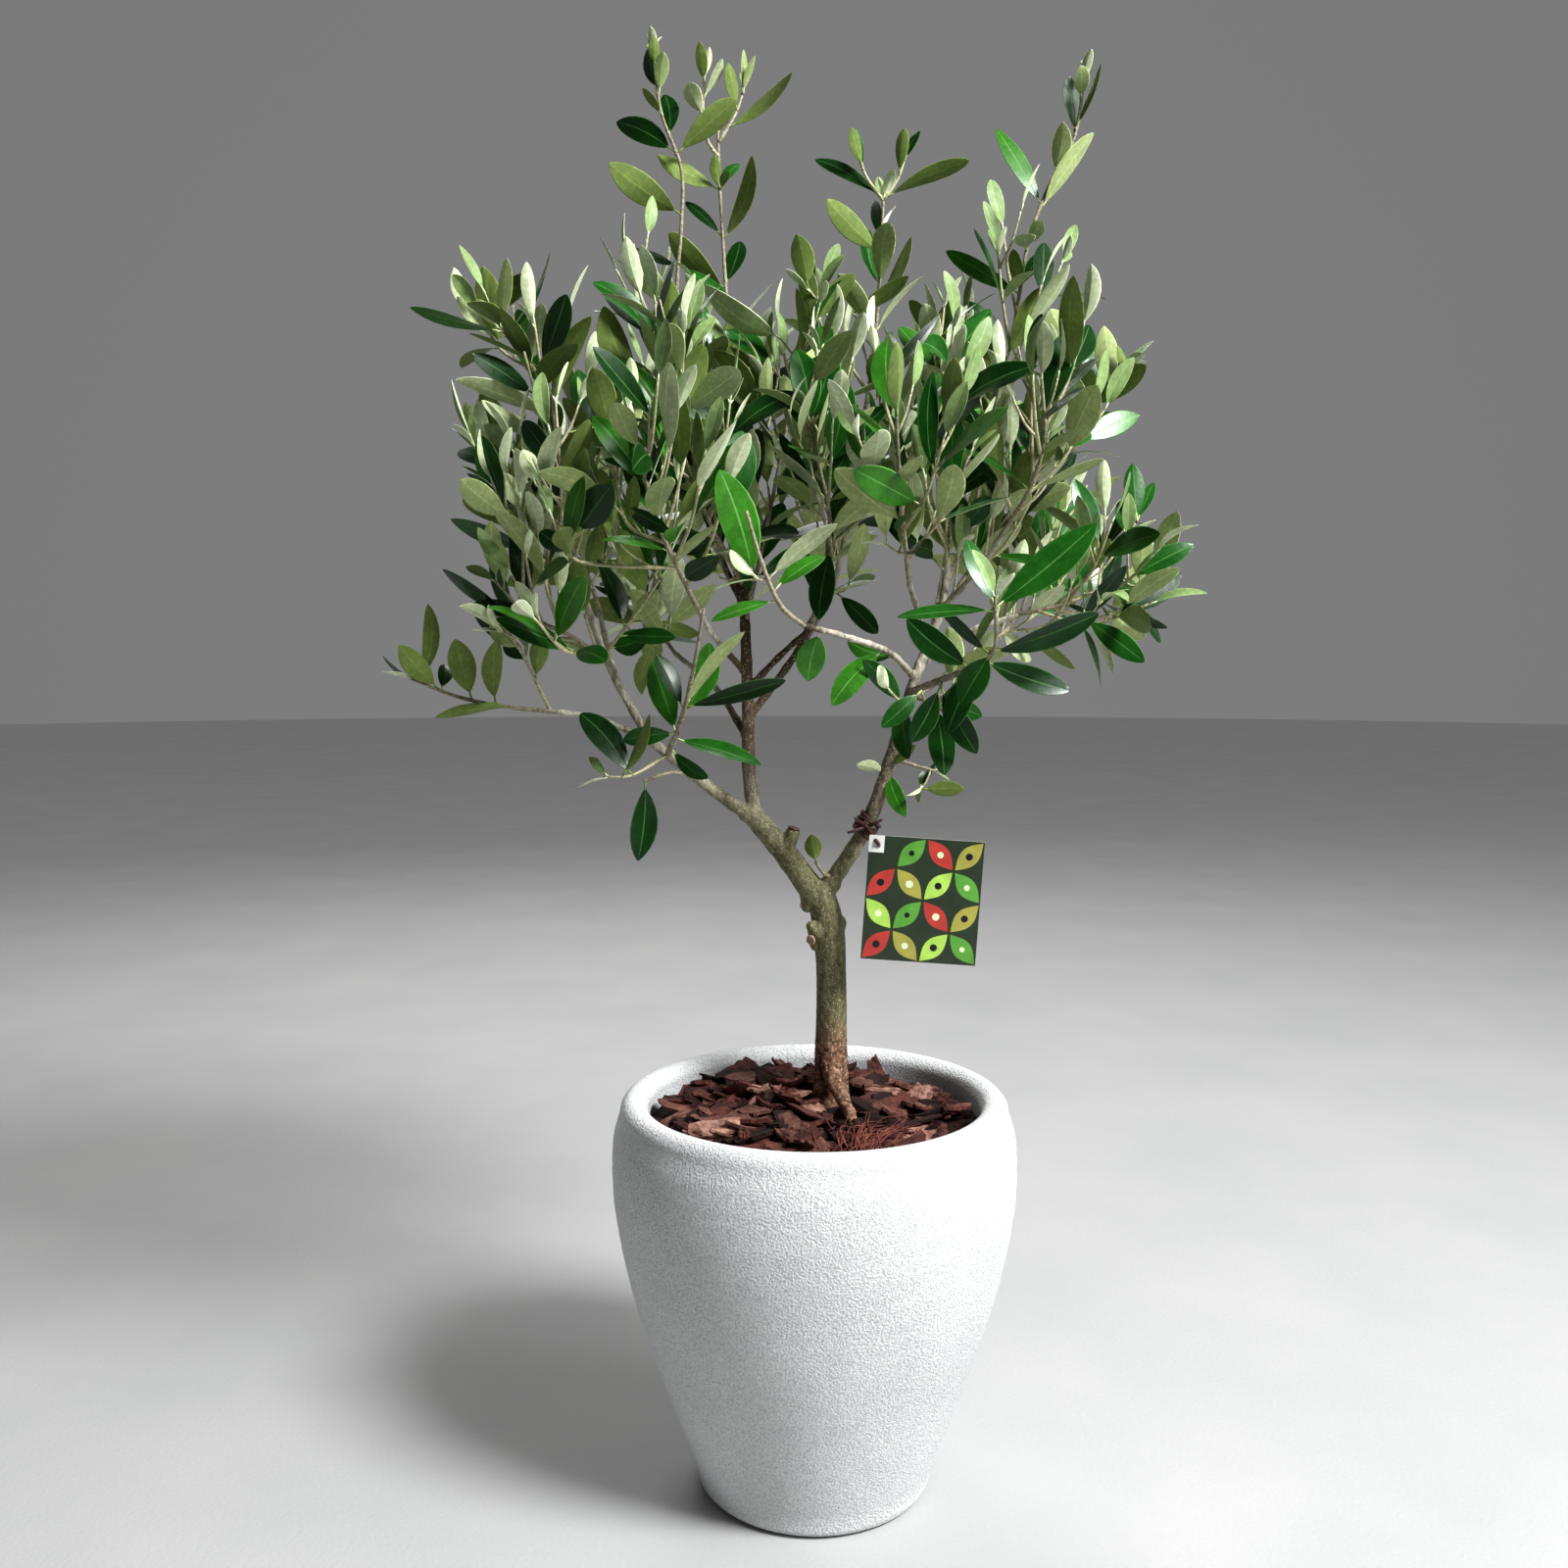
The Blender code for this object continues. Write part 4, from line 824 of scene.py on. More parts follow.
# Burls, scar, stubs and collars: place and half sizes in mm.
KNOTS = (((2, 7, 349), (6.5, 6, 7.5)), ((-4, 6, 364), (4.5, 4, 4)), ((17, 13, 352), (3.5, 4.5, 5)),
         ((-17, 3, 404), (5.2, 5.2, 7)), ((-25, 2, 404), (4, 4, 4)), ((1, 10, 340), (4, 4, 5)),
         ((-2, 4, 352), (3.4, 3.6, 3.4)), ((6, 9, 373), (8, 7, 6)), ((-37, 1, 421), (6.2, 5.6, 5.6)))
STUB_WAY = ((-17, 3, 400, 4.8), (-15, 2, 406, 4.6), (-13, 1.5, 412, 4.4))
BARK_VOXEL = 0.85 * MM
LIMB_STEP = 26 * MM
BARK_STEP = 5 * MM
STUB_STEP = 2 * MM
LIMB_SIDES = 16
COLLAR = 1.22                    # radius of the collar where a limb leaves its bough, over the limb's
KNOB_RINGS = 8
KNOB_SIDES = 14
NODE_RISE = 0.35 * MM            # how far an old leaf node stands proud of its limb


def swelling_path(way, step):
    path = smooth_path([Vector(knot) * MM for knot in way], step)
    return [knot.to_3d() for knot in path], [knot.w for knot in path]


def limb_path(name):
    return smooth_path(to_metres(LIMBS[name].way), LIMB_STEP)


def add_knob(shape, place, half_sizes):
    turns = [math.pi * k / KNOB_RINGS for k in range(KNOB_RINGS + 1)]
    knob = Shape()
    add_revolved(knob, [(math.sin(turn), math.cos(turn)) for turn in turns], KNOB_SIDES)
    shape.add(np.concatenate(knob.spots) * np.array(half_sizes) * MM + np.array(place) * MM, knob.faces)


def wooden_shape():
    """Trunk, surface root, burls and limbs as closed shapes that run into each other."""
    shape = Shape()
    for way, step, sides in ((TRUNK_WAY, BARK_STEP, 40), (SURFACE_ROOT_WAY, BARK_STEP, 14),
                             (STUB_WAY, STUB_STEP, 20)):
        add_tube(shape, *swelling_path(way, step), sides)
    for place, half_sizes in KNOTS:
        add_knob(shape, place, half_sizes)
    for name, limb in LIMBS.items():
        rng = random.Random(f"{SEED} {name} bark")
        path = smooth_path(to_metres(limb.way), BARK_STEP)
        radii = taper(path, limb.root * MM, limb.tip * MM)
        every = rng.randrange(3, 6)
        radii = [radius + NODE_RISE if k % every == 0 else radius * rng.uniform(0.98, 1.02)
                 for k, radius in enumerate(radii)]
        add_tube(shape, path, radii, LIMB_SIDES)
        collar = limb.root * COLLAR
        add_knob(shape, tuple(path[1] / MM), (collar, collar, collar * 1.1))
    return shape


def remeshed(mesh, voxel):
    item = bpy.data.objects.new("remesh", mesh)
    bpy.context.scene.collection.objects.link(item)
    remesh = item.modifiers.new("remesh", "REMESH")
    remesh.mode = "VOXEL"
    remesh.voxel_size = voxel
    remesh.use_smooth_shade = True
    soften = item.modifiers.new("soften", "SMOOTH")
    soften.factor = 0.5
    soften.iterations = 2
    bpy.context.view_layer.update()
    made = bpy.data.meshes.new_from_object(item.evaluated_get(bpy.context.evaluated_depsgraph_get()))
    bpy.data.objects.remove(item, do_unlink=True)
    return made


SCALY_UP_TO = 0.285              # height in metres where the scales of the foot end
SMOOTH_FROM = 0.47               # and where the relief is faintest
RIDGE_STRETCH = 0.35
# Bark relief: scale of the noise, and height in mm.
RIDGES = ((330.0, 0.09), (120.0, 0.135))
WARTS = (420.0, 0.112)
SCALES = ((230.0, 1.1), (520.0, 0.35))


def bark_relief(spot):
    """Height of the bark at a place: scaly at the foot, finely ridged and warty above."""
    def wave(place, scale, height):
        return noise.noise(place * scale) * height

    foot = max(0.0, min(1.0, (SCALY_UP_TO - spot.z) / 0.03))
    thick = max(0.25, min(1.0, (SMOOTH_FROM - spot.z) / 0.10))
    along = Vector((spot.x, spot.y, spot.z * RIDGE_STRETCH))
    ridged = sum(wave(along, *ridge) for ridge in RIDGES) + wave(spot, *WARTS)
    scaly = abs(wave(spot, *SCALES[0])) + wave(spot, *SCALES[1])
    return (ridged * thick + scaly * foot) * MM


def build_wood():
    mesh = remeshed(wooden_shape().mesh("wood"), BARK_VOXEL)
    count = len(mesh.vertices)
    spots = np.empty(count * 3)
    normals = np.empty(count * 3)
    mesh.vertices.foreach_get("co", spots)
    mesh.vertices.foreach_get("normal", normals)
    spots, normals = spots.reshape(-1, 3), normals.reshape(-1, 3)
    relief = np.array([bark_relief(Vector(spot)) for spot in spots])
    mesh.vertices.foreach_set("co", (spots + normals * relief[:, None]).ravel())
    mesh.update()
    wood = piece_from(mesh, "trunk_and_boughs", [bark_look()])
    settle(wood, "trunk_bark", "trunk", *LIMBS)


# Sawn and healed wood: place in mm, direction it faces and radius in mm.
CUTS = (((-12.6, 1.3, 413.6), (0.3, -0.1, 1.0), 3.9), ((-2.4, 1.8, 343.5), (-0.55, -0.8, -0.1), 3.3),
        ((-8.2, 5.6, 365), (-1.0, -0.2, 0.1), 2.0))
CUT_RADIUS = 3.9                 # of the cut whose rings these are
CUT_RINGS = (1.0, 2.0, 2.8, 3.4)


def build_cuts():
    shape = Shape()
    for k, (place, facing, radius) in enumerate(CUTS):
        facing = Vector(facing).normalized()
        turn = facing.to_track_quat("Z", "Y").to_matrix()
        disc = Shape()
        rings = [(r, 0.35 + 0.12 * math.sin(9 * r)) for r in CUT_RINGS] + [(CUT_RADIUS, -0.5)]
        profile = [(0.0, 0.32), *((r * radius / CUT_RADIUS, h) for r, h in rings), (0.0, -0.9)]
        add_revolved(disc, profile, 20)
        spots = [Vector(place) + turn @ Vector(spot) for spot in np.concatenate(disc.spots)]
        shape.add([spot * MM for spot in spots], disc.faces, min(k, 1))
    looks = [wood_look("old_cut", (0.035, 0.024, 0.018), (0.16, 0.10, 0.075), 0.9),
             wood_look("cut_wood", (0.20, 0.11, 0.085), (0.50, 0.34, 0.27), 0.8)]
    piece = shape.piece("pruning_cuts", looks)
    point_faces_out(piece.data)
    settle(piece, "trunk_bark")


# ---------------------------------------------------------------- leaves read from the photograph

# Leaves that the photograph shows one by one, read from enlarged parts of it. Each mass has,
# for each enlarged part, the twigs of its own that carry them, as points (x, y, depth), and the
# leaves, as (root x, root y, tip x, tip y, breadth, depth). Breadth is below zero where the
# underside shows, depth is in mm behind the pot's axis, and the rest is in the part's own pixels.
CLOSE_UPS = {                    # left and top edge on the photograph, and enlargement
    "bl": (370, 430, 4),
    "br": (780, 430, 4),
    "tl": (370, 20, 4),
    "tr": (780, 20, 4),
    "a": (700, 400, 2.25),
    "b": (440, 330, 2.25),
}
PLACED = {
    "leaves_far_left": [
        ("bl", [((768, 1180, -31), (700, 1045, -30), (655, 955, -32), (600, 870, -36), (545, 790, -40))], [
            (310, 1105, 150, 915, -95, -36), (232, 1078, 262, 745, -72, -34),
            (315, 1100, 335, 970, 65, -34), (455, 1112, 375, 880, -110, -34),
            (590, 1135, 290, 1162, -45, -38), (600, 1190, 455, 1170, -38, -32),
            (225, 1082, 55, 985, 18, -34), (715, 1045, 735, 865, -80, -31), (655, 985, 575, 900, 70, -34),
            (625, 925, 400, 770, 48, -36), (640, 930, 520, 830, -75, -40),
            (555, 1120, 512, 872, -88, -34)]),
    ],
    "leaves_left_low": [
        ("bl", [((985, 950, -28), (920, 830, -34), (900, 760, -38)),
         ((1000, 950, -26), (1075, 840, -38), (1150, 740, -46), (1215, 640, -52))], [
            (740, 832, 455, 735, 75, -47), (610, 790, 262, 645, 70, -50), (735, 800, 625, 785, -55, -50),
            (645, 770, 630, 430, 105, -48), (560, 700, 575, 455, -50, -52), (560, 655, 520, 405, -82, -50),
            (985, 960, 780, 890, -62, -32), (1020, 960, 1180, 870, 110, -34),
            (1050, 880, 1270, 870, 70, -36), (1080, 835, 1215, 680, -75, -44),
            (1070, 840, 960, 560, 90, -40), (1160, 725, 1050, 430, -110, -48),
            (1205, 650, 1030, 310, 78, -54), (1215, 640, 1225, 395, 60, -50),
            (1220, 640, 1405, 385, -38, -54), (830, 860, 840, 560, -70, -46), (905, 790, 820, 690, 95, -36),
            (915, 800, 865, 555, -100, -42)]),
    ],
    "leaves_front_left": [
        ("bl", [((1230, 1425, -58), (1100, 1445, -58), (990, 1450, -58))], [
            (1320, 1220, 1420, 895, 120, -78), (1345, 1175, 1530, 830, -55, -76),
            (1295, 1290, 1185, 985, 115, -70), (1345, 1180, 1205, 945, 80, -60),
            (1345, 1185, 1730, 1080, 70, -78), (1300, 1290, 1055, 1320, 80, -74),
            (1290, 1325, 1625, 1420, 95, -74), (1270, 1375, 1390, 1465, 60, -60),
            (1100, 1445, 890, 1190, 110, -62), (1065, 1447, 1200, 1195, -60, -64)]),
    ],
    "leaf_hanging": [
        ("bl", [], [
            (1135, 1475, 1145, 1795, 105, -63)]),
    ],
    "leaves_front_right": [
        ("br", [], [
            (935, 750, 550, 725, 44, -128), (935, 750, 855, 450, 90, -134),
            (940, 750, 1355, 410, 150, -134), (950, 945, 1385, 825, 85, -119),
            (900, 1010, 1255, 1080, 90, -112), (945, 940, 800, 1155, 130, -124),
            (905, 1010, 725, 1255, 100, -112), (830, 1050, 580, 805, 120, -102),
            (930, 920, 668, 760, 60, -114), (640, 1100, 480, 1245, 85, -72),
            (700, 1085, 600, 1305, 105, -84), (720, 1080, 835, 1370, 85, -82)]),
    ],
    "leaves_front": [
        ("bl", [], [
            (1600, 640, 1450, 175, 165, -134), (1690, 740, 1420, 790, 55, -124)]),
        ("br", [], [
            (560, 955, 350, 900, 85, -34), (200, 870, 180, 1055, 122, -64), (0, 650, 285, 390, -70, -128),
            (20, 700, 240, 470, 90, -122), (480, 925, 275, 1160, 100, -34)]),
        ("bl", [], [
            (1600, 640, 1800, 520, 60, -130)]),
    ],
    "leaves_right_low": [
        ("br", [((1200, 780, -19), (1310, 640, -26), (1420, 520, -30), (1520, 410, -32))], [
            (1610, 620, 1690, 355, -95, -20), (1530, 675, 1550, 415, -85, -22),
            (1600, 620, 1545, 395, 50, -14), (1520, 410, 1510, 165, 80, -32),
            (1520, 410, 1590, 235, 50, -32), (1465, 460, 1455, 310, 60, -30),
            (1365, 735, 1480, 490, 75, -22), (1310, 640, 1415, 480, -60, -30),
            (1370, 740, 1640, 855, 18, -20), (1235, 760, 1335, 795, 26, -20),
            (1330, 620, 1290, 420, -80, -30), (1230, 750, 1370, 440, 95, -24)]),
    ],
    "leaves_right_sprig": [
        ("br", [], [
            (500, 1440, 370, 1385, -46, -6), (520, 1430, 575, 1610, 76, -12),
            (640, 1500, 815, 1500, -66, -9), (620, 1500, 635, 1410, 25, -9), (640, 1500, 690, 1385, 25, -9),
            (530, 1420, 630, 1320, -42, -6)]),
    ],
    "leaf_at_fork": [
        ("br", [], [
            (225, 1795, 190, 1680, -72, 4)]),
    ],
    "leaves_tall_left": [
        ("tl", [], [
            (1300, 530, 1025, 395, 90, 18), (1315, 540, 1525, 325, -85, 18),
            (1300, 790, 1008, 580, -105, 18), (1300, 1010, 1108, 935, 48, 20),
            (1280, 480, 1230, 290, 80, 22), (1225, 390, 1145, 275, -34, 18), (1200, 300, 1140, 100, 60, 19),
            (1200, 300, 1228, 120, -58, 17), (1193, 190, 1188, 66, -45, 18),
            (1295, 1200, 1075, 945, -102, 16), (1300, 1010, 1480, 1110, 40, 24)]),
    ],
    "leaves_tall_middle": [
        ("tl", [((1460, 560, 30), (1410, 500, 29), (1390, 380, 28), (1395, 230, 28)),
         ((1455, 500, 30), (1520, 390, 30), (1555, 290, 30))], [
            (1462, 700, 1205, 548, -76, 30), (1480, 900, 1665, 585, -62, 28),
            (1475, 890, 1325, 720, 38, 32), (1480, 1090, 1530, 875, 76, 34),
            (1490, 450, 1790, 260, -58, 28), (1395, 400, 1320, 225, -72, 27),
            (1392, 260, 1380, 85, -46, 28), (1395, 330, 1470, 160, -30, 28),
            (1530, 370, 1490, 175, -50, 29), (1555, 300, 1552, 120, -26, 30),
            (1555, 300, 1592, 140, -30, 30), (1465, 690, 1430, 550, -42, 28),
            (1465, 690, 1500, 610, -34, 28), (1475, 680, 1540, 570, 42, 32),
            (1478, 1100, 1245, 870, -88, 32)]),
    ],
    "leaves_left_top": [
        ("tl", [], [
            (560, 1260, 600, 975, -56, 0), (560, 1275, 190, 1185, 28, -2), (770, 1510, 590, 1145, 100, -14),
            (690, 1400, 755, 1140, -84, -8), (600, 1290, 805, 970, 34, 4), (560, 1265, 460, 1140, -52, -4),
            (790, 1560, 955, 1215, -88, -14), (780, 1740, 480, 1565, -72, -18),
            (770, 1620, 400, 1415, -78, -12)]),
    ],
    "leaves_tall_right": [
        ("tr", [((480, 740, 30), (420, 650, 29), (385, 560, 29)),
         ((490, 740, 30), (545, 650, 30), (575, 560, 30))], [
            (470, 720, 210, 545, 58, 28), (470, 960, 245, 735, -96, 26), (385, 600, 355, 440, -46, 28),
            (400, 620, 375, 440, 40, 31), (550, 640, 565, 440, -48, 29), (575, 570, 635, 455, 38, 31),
            (500, 730, 820, 530, -48, 28), (478, 900, 430, 720, 52, 34), (485, 900, 492, 730, 30, 36)]),
    ],
    "leaves_tall_far_right": [
        ("tr", [], [
            (1110, 760, 965, 405, 76, 32), (1130, 770, 1350, 465, -82, 26), (1190, 640, 1220, 415, -76, 28),
            (1275, 480, 1245, 230, 60, 31), (1303, 320, 1290, 180, -62, 28),
            (1285, 450, 1395, 190, -28, 29), (1095, 930, 1145, 800, -62, 26),
            (1090, 945, 1050, 850, -84, 25), (1060, 1120, 740, 945, 74, 26),
            (1062, 1120, 1035, 925, -54, 27), (1070, 1100, 1135, 945, 50, 34),
            (1005, 1390, 1110, 1090, -86, 24), (1000, 1390, 830, 1145, 78, 34),
            (950, 1540, 870, 1255, -140, 22)]),
    ],
    "leaves_centre_front": [
        ("a", [((360, 455, -16), (335, 390, -24), (322, 310, -30), (290, 190, -36), (270, 35, -40))], [
            (50, 205, 42, 55, -48, -44), (212, 182, 128, 95, -55, -40), (325, 355, 305, 525, 60, -34),
            (300, 175, 462, 10, 50, -42), (285, 135, 440, 42, -32, -46), (372, 450, 405, 300, -42, -20),
            (330, 255, 430, 200, -18, -38), (345, 460, 440, 550, 45, -22), (300, 200, 215, 95, 26, -30),
            (330, 330, 365, 210, 38, -24), (278, 100, 240, -15, 40, -44)]),
    ],
    "leaves_right_centre": [
        ("a", [((605, 400, 0), (597, 330, -4), (605, 180, -8)),
         ((600, 340, -2), (545, 230, -10), (470, 70, -16))], [
            (545, 205, 522, 68, -68, -12), (585, 215, 622, 85, -55, -8), (655, 150, 650, 25, 66, -10),
            (665, 165, 730, 35, -55, -8), (490, 350, 535, 222, -48, -16), (460, 350, 468, 165, -42, -20),
            (565, 270, 450, 215, 26, -14), (620, 340, 637, 235, 42, -8), (640, 320, 702, 240, 50, -6),
            (690, 340, 785, 260, 50, -10), (700, 345, 800, 285, -50, -4), (615, 350, 565, 290, -42, -12),
            (745, 215, 862, 115, -45, -4), (575, 390, 505, 330, 48, -14)]),
        ("tr", [], [
            (545, 1640, 640, 1360, -70, -4), (700, 1530, 790, 1270, -62, -4),
            (680, 1390, 645, 1130, -88, -8), (880, 1790, 970, 1580, -78, -6),
            (850, 1780, 800, 1580, 110, -10), (460, 1540, 460, 1340, -84, -8)]),
    ],
    "leaves_centre_top": [
        ("tr", [], [
            (180, 1100, 130, 865, -92, -4), (205, 1650, 130, 1340, 120, -10),
            (140, 1640, 75, 1450, -50, -8), (300, 1580, 340, 1320, -108, -6),
            (360, 1200, 585, 1030, -62, -2), (490, 1160, 640, 905, -54, -2)]),
        ("tl", [], [
            (1710, 1305, 1375, 1090, -108, -12), (1680, 1430, 1490, 1190, 92, -10),
            (1620, 1640, 1450, 1340, -104, -14)]),
    ],
    "leaves_centre_left": [
        ("tl", [], [
            (1155, 1540, 965, 1180, -108, -44), (1205, 1480, 1225, 1150, 72, -46),
            (1260, 1500, 1330, 1240, -90, -48), (1265, 1640, 1370, 1310, -95, -46),
            (1020, 1700, 940, 1415, -112, -42), (1160, 1640, 1010, 1440, 92, -40),
            (1320, 1780, 1040, 1545, -62, -40)]),
        ("b", [], [
            (640, 395, 548, 320, -56, -44), (664, 585, 588, 464, 44, -36), (680, 535, 635, 400, 50, -40)]),
    ],
    "leaves_front_left_high": [
        ("b", [((430, 640, -76), (335, 545, -82), (305, 470, -84), (297, 350, -86), (285, 170, -88)),
         ((505, 520, -78), (460, 470, -80), (430, 400, -82), (415, 265, -84))], [
            (415, 262, 372, 98, -66, -84), (302, 352, 358, 212, -48, -86), (325, 450, 370, 285, -38, -80),
            (285, 335, 190, 215, 55, -84), (285, 430, 240, 340, 50, -80), (240, 370, 210, 290, -44, -82),
            (448, 458, 482, 342, -36, -78), (335, 480, 400, 390, 78, -72), (318, 545, 278, 448, -54, -70),
            (300, 540, 252, 480, 44, -66), (380, 310, 500, 328, 28, -84), (430, 420, 560, 470, 40, -74)]),
    ],
    "leaves_left_middle": [
        ("b", [], [
            (282, 452, 135, 348, -50, -8), (215, 385, 80, 365, 18, -4), (210, 300, 120, 230, -44, -6),
            (200, 330, 150, 215, 40, -4), (225, 420, 232, 330, 34, -8)]),
    ],
    "leaves_right_top": [
        ("tr", [], [
            (1275, 1450, 1165, 1175, -130, -2), (1410, 1520, 1385, 1245, -102, -2),
            (1280, 1225, 1240, 1030, -96, 0), (1180, 1610, 1050, 1370, 36, -4),
            (1110, 1730, 1095, 1490, -88, -2), (1490, 1440, 1500, 1395, 30, 0),
            (1490, 1440, 1440, 1330, -34, 0), (1350, 1550, 1320, 1330, 60, -6),
            (1200, 1640, 1210, 1440, 56, -6)]),
    ],
}
ONE_LEAF = ("leaf_hanging", "leaf_at_fork")
STEM_ONLY = ("leaves_far_left", "leaves_front_left", "leaves_front_right", "leaves_front",
             "leaves_right_sprig", *ONE_LEAF)    # masses that hold no other leaves
OPEN = ("leaves_tall_left", "leaves_tall_middle", "leaves_tall_right", "leaves_tall_far_right",
        "leaves_left_low", "leaves_right_low")   # masses without finer sprays


# ---------------------------------------------------------------- growth

# Room that a stem and a shoot take, and radii of stems, shoots and short twigs, at root and tip.
STEM_ROOM = (1.45 * MM, 1.15 * MM)
SHOOT_ROOM = (1.25 * MM, 1.05 * MM)
STEM_TWIG = (1.5 * MM, 0.9 * MM)
SHOOT_TWIG = (1.15 * MM, 0.7 * MM)
SHORT_TWIG = (0.85 * MM, 0.6 * MM)
TWIG_STEP = 32 * MM
FINE_STEP = 9 * MM
STEM_SKIP = 2 * MM               # of a twig's root that isn't tried for room
SHOOT_SKIP = 5 * MM
CLEAR = 0.5 * MM

FIRST_SHOOT = 0.08               # share of the stem below the side shoots
MORE_SHOOTS = 1                  # than the solids have
SHOOT_ANGLE = math.radians(50)
SHOOT_TURNS = tuple(math.radians(turn) for turn in (0, 75, -75, 150, -150))
SHOOT_TWIST = math.radians(137.5)
SHOOT_LIFT = 1.1
SHOOT_LENGTH = (0.86, 1.14)
SHORTER_UP = 0.4                 # by how much shoots get shorter up the stem
SHORTEST_SHOOT = 24 * MM
JITTER = (0.85, 1.15)

BOTH_SIDES = (0.0, math.pi)
FIRST_PAIR = 14 * MM
LEAF_ANGLE_LAST = math.radians(30)
LEAF_LIFT = 0.12
LEAF_TURN = 0.75                 # spread of a leaf's turn about its own length
LEAF_SIZE = (0.92, 1.14)
LIGHT_SHARE = 0.8
TIP_ANGLE = math.radians(7)
TIP_LEAF = 0.66
SHOOT_LEAF = 1.08
FOLD_TRIES = (1.0, 0.62, 0.34)

# Mean and spread of a leaf's bend, sway, fold and twist, and least and greatest fold of a young one.
BEND, SWAY, FOLD, TWIST = (0.25, 0.24), (0.0, 0.04), (0.14, 0.13), (0.0, 0.3)
YOUNG_FOLD = (0.25, 0.55)

# The leaf that is tried for room: breadth over length, shares of its length, rise of its edge, keel.
TEST_WIDTH = 0.34
TEST_START = 0.16
TEST_STATIONS = (0.36, 0.6, 0.82)
TEST_EDGE = 0.2 * MM
TEST_KEEL = 0.5 * MM

Leaf = namedtuple("Leaf", "root direction face length young breadth", defaults=(None,))
Spray = namedtuple("Spray", "path radius leaves")


def tree_of(mesh):
    return BVHTree.FromPolygons([vertex.co for vertex in mesh.vertices],
                                [list(face.vertices) for face in mesh.polygons])


class Solid:
    """Rough stand-in for a leaf, twig or limb, tried against the others."""

    def __init__(self, spots, tree):
        self.middle = sum(spots, Vector()) / len(spots)
        self.reach = max((spot - self.middle).length for spot in spots)
        self.tree = tree

    def touches(self, other):
        near = (self.middle - other.middle).length < self.reach + other.reach
        return near and bool(self.tree.overlap(other.tree))


def habit(leaf):
    """How much a leaf bends down, sways, folds and twists, drawn from its own place and direction."""
    rng = random.Random("%.4f %.4f %.4f %.3f %.3f" % (*leaf.root, leaf.direction.x, leaf.direction.y))
    fold = rng.uniform(*YOUNG_FOLD) if leaf.young else rng.gauss(*FOLD)
    return rng.gauss(*BEND), rng.gauss(*SWAY), fold, rng.gauss(*TWIST)


def leaf_solid(leaf, start=TEST_START, slack=CLEAR / 2):
    """Bent trough of a few faces, from near the root to the tip, with a keel under its middle."""
    half = (leaf.breadth or leaf.length * TEST_WIDTH) / 2 + slack
    width = leaf.face.cross(leaf.direction)
    bend, _, fold, _ = habit(leaf)
    spots = []
    for share in (start, *TEST_STATIONS, 1.0):
        middle = leaf.root + (leaf.direction * share - leaf.face * bend * share**2 / 2) * leaf.length
        wide = half * (0.0 if share in (start, 1.0) else math.sin(math.pi * share**0.9)**0.7)
        edge = leaf.face * (fold * wide * (1 - share / 2) + TEST_EDGE)
        keel = middle - leaf.face * (TEST_KEEL + slack)
        spots += [middle + width * wide + edge, keel, middle - width * wide + edge]
    faces = []
    for row in range(0, len(spots) - 3, 3):
        for a, b in ((row, row + 1), (row + 1, row + 2), (row + 2, row)):
            faces += [(a, b, b + 3), (a, b + 3, a + 3)]
    return Solid(spots, BVHTree.FromPolygons(spots, faces))


def twig_solid(path, radius, skip=0.0):
    """Four-sided tube with some clearance, without the first part of the twig."""
    path = without_root(path, skip)
    shape = Shape()
    add_tube(shape, path, [size + CLEAR for size in taper(path, *radius)], 4)
    spots = [Vector(spot) for spot in np.concatenate(shape.spots)]
    return Solid(spots, BVHTree.FromPolygons(spots, shape.faces))


class Room:
    """What is taken already, and the share of the crown that each stem holds."""

    def __init__(self, obstacles, stems):
        self.taken = []
        for item in obstacles:
            self.take(Solid([vertex.co.copy() for vertex in item.data.vertices], tree_of(item.data)))
        self.stems = {name: np.array(divided(path, FINE_STEP)) for name, path in stems.items()}
        self.boxes = {name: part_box(name) for name in stems}

    def is_free(self, solid):
        return not any(solid.touches(other) for other in self.taken)

    def take(self, solid):
        self.taken.append(solid)

    def gives(self, solid):
        """Takes a solid in where it touches nothing, and tells whether it did."""
        free = self.is_free(solid)
        if free:
            self.take(solid)
        return free

    def holds(self, name, spot):
        """True where a spot is nearer to this mass's stem than to any other."""
        place = np.array(spot)
        gaps = {other: np.linalg.norm(spots - place, axis=1).min() for other, spots in self.stems.items()}
        own = gaps.pop(name)
        return min(gaps.values()) >= own + CLEAR

    def reaches(self, name, spot, slack=2 * MM):
        """True where the CAD's mass reaches as far."""
        low, high = self.boxes[name]
        return all(low[k] - slack <= spot[k] <= high[k] + slack for k in range(3))


def seated_stem(mass):
    """Stem of a mass, from the axis of the limb that carries it."""
    path = limb_path(mass.limb)
    start, _ = point_at(path, mass.at * length_of(path))
    return divided(smooth_path([start, *to_metres(mass.way)], FINE_STEP), TWIG_STEP)


def bent_paths(place, along, angle, bearing, length):
    """Fine paths at several bearings that bend up to the light."""
    steps = max(2, round(length / FINE_STEP))
    choices = []
    for turn in SHOOT_TURNS:
        heading = along * math.cos(angle) + square_to(along, bearing + turn) * math.sin(angle)
        path = [place]
        for _ in range(steps):
            heading = (heading + UP * SHOOT_LIFT / steps).normalized()
            path.append(path[-1] + heading * (length / steps))
        choices.append(path)
    return choices


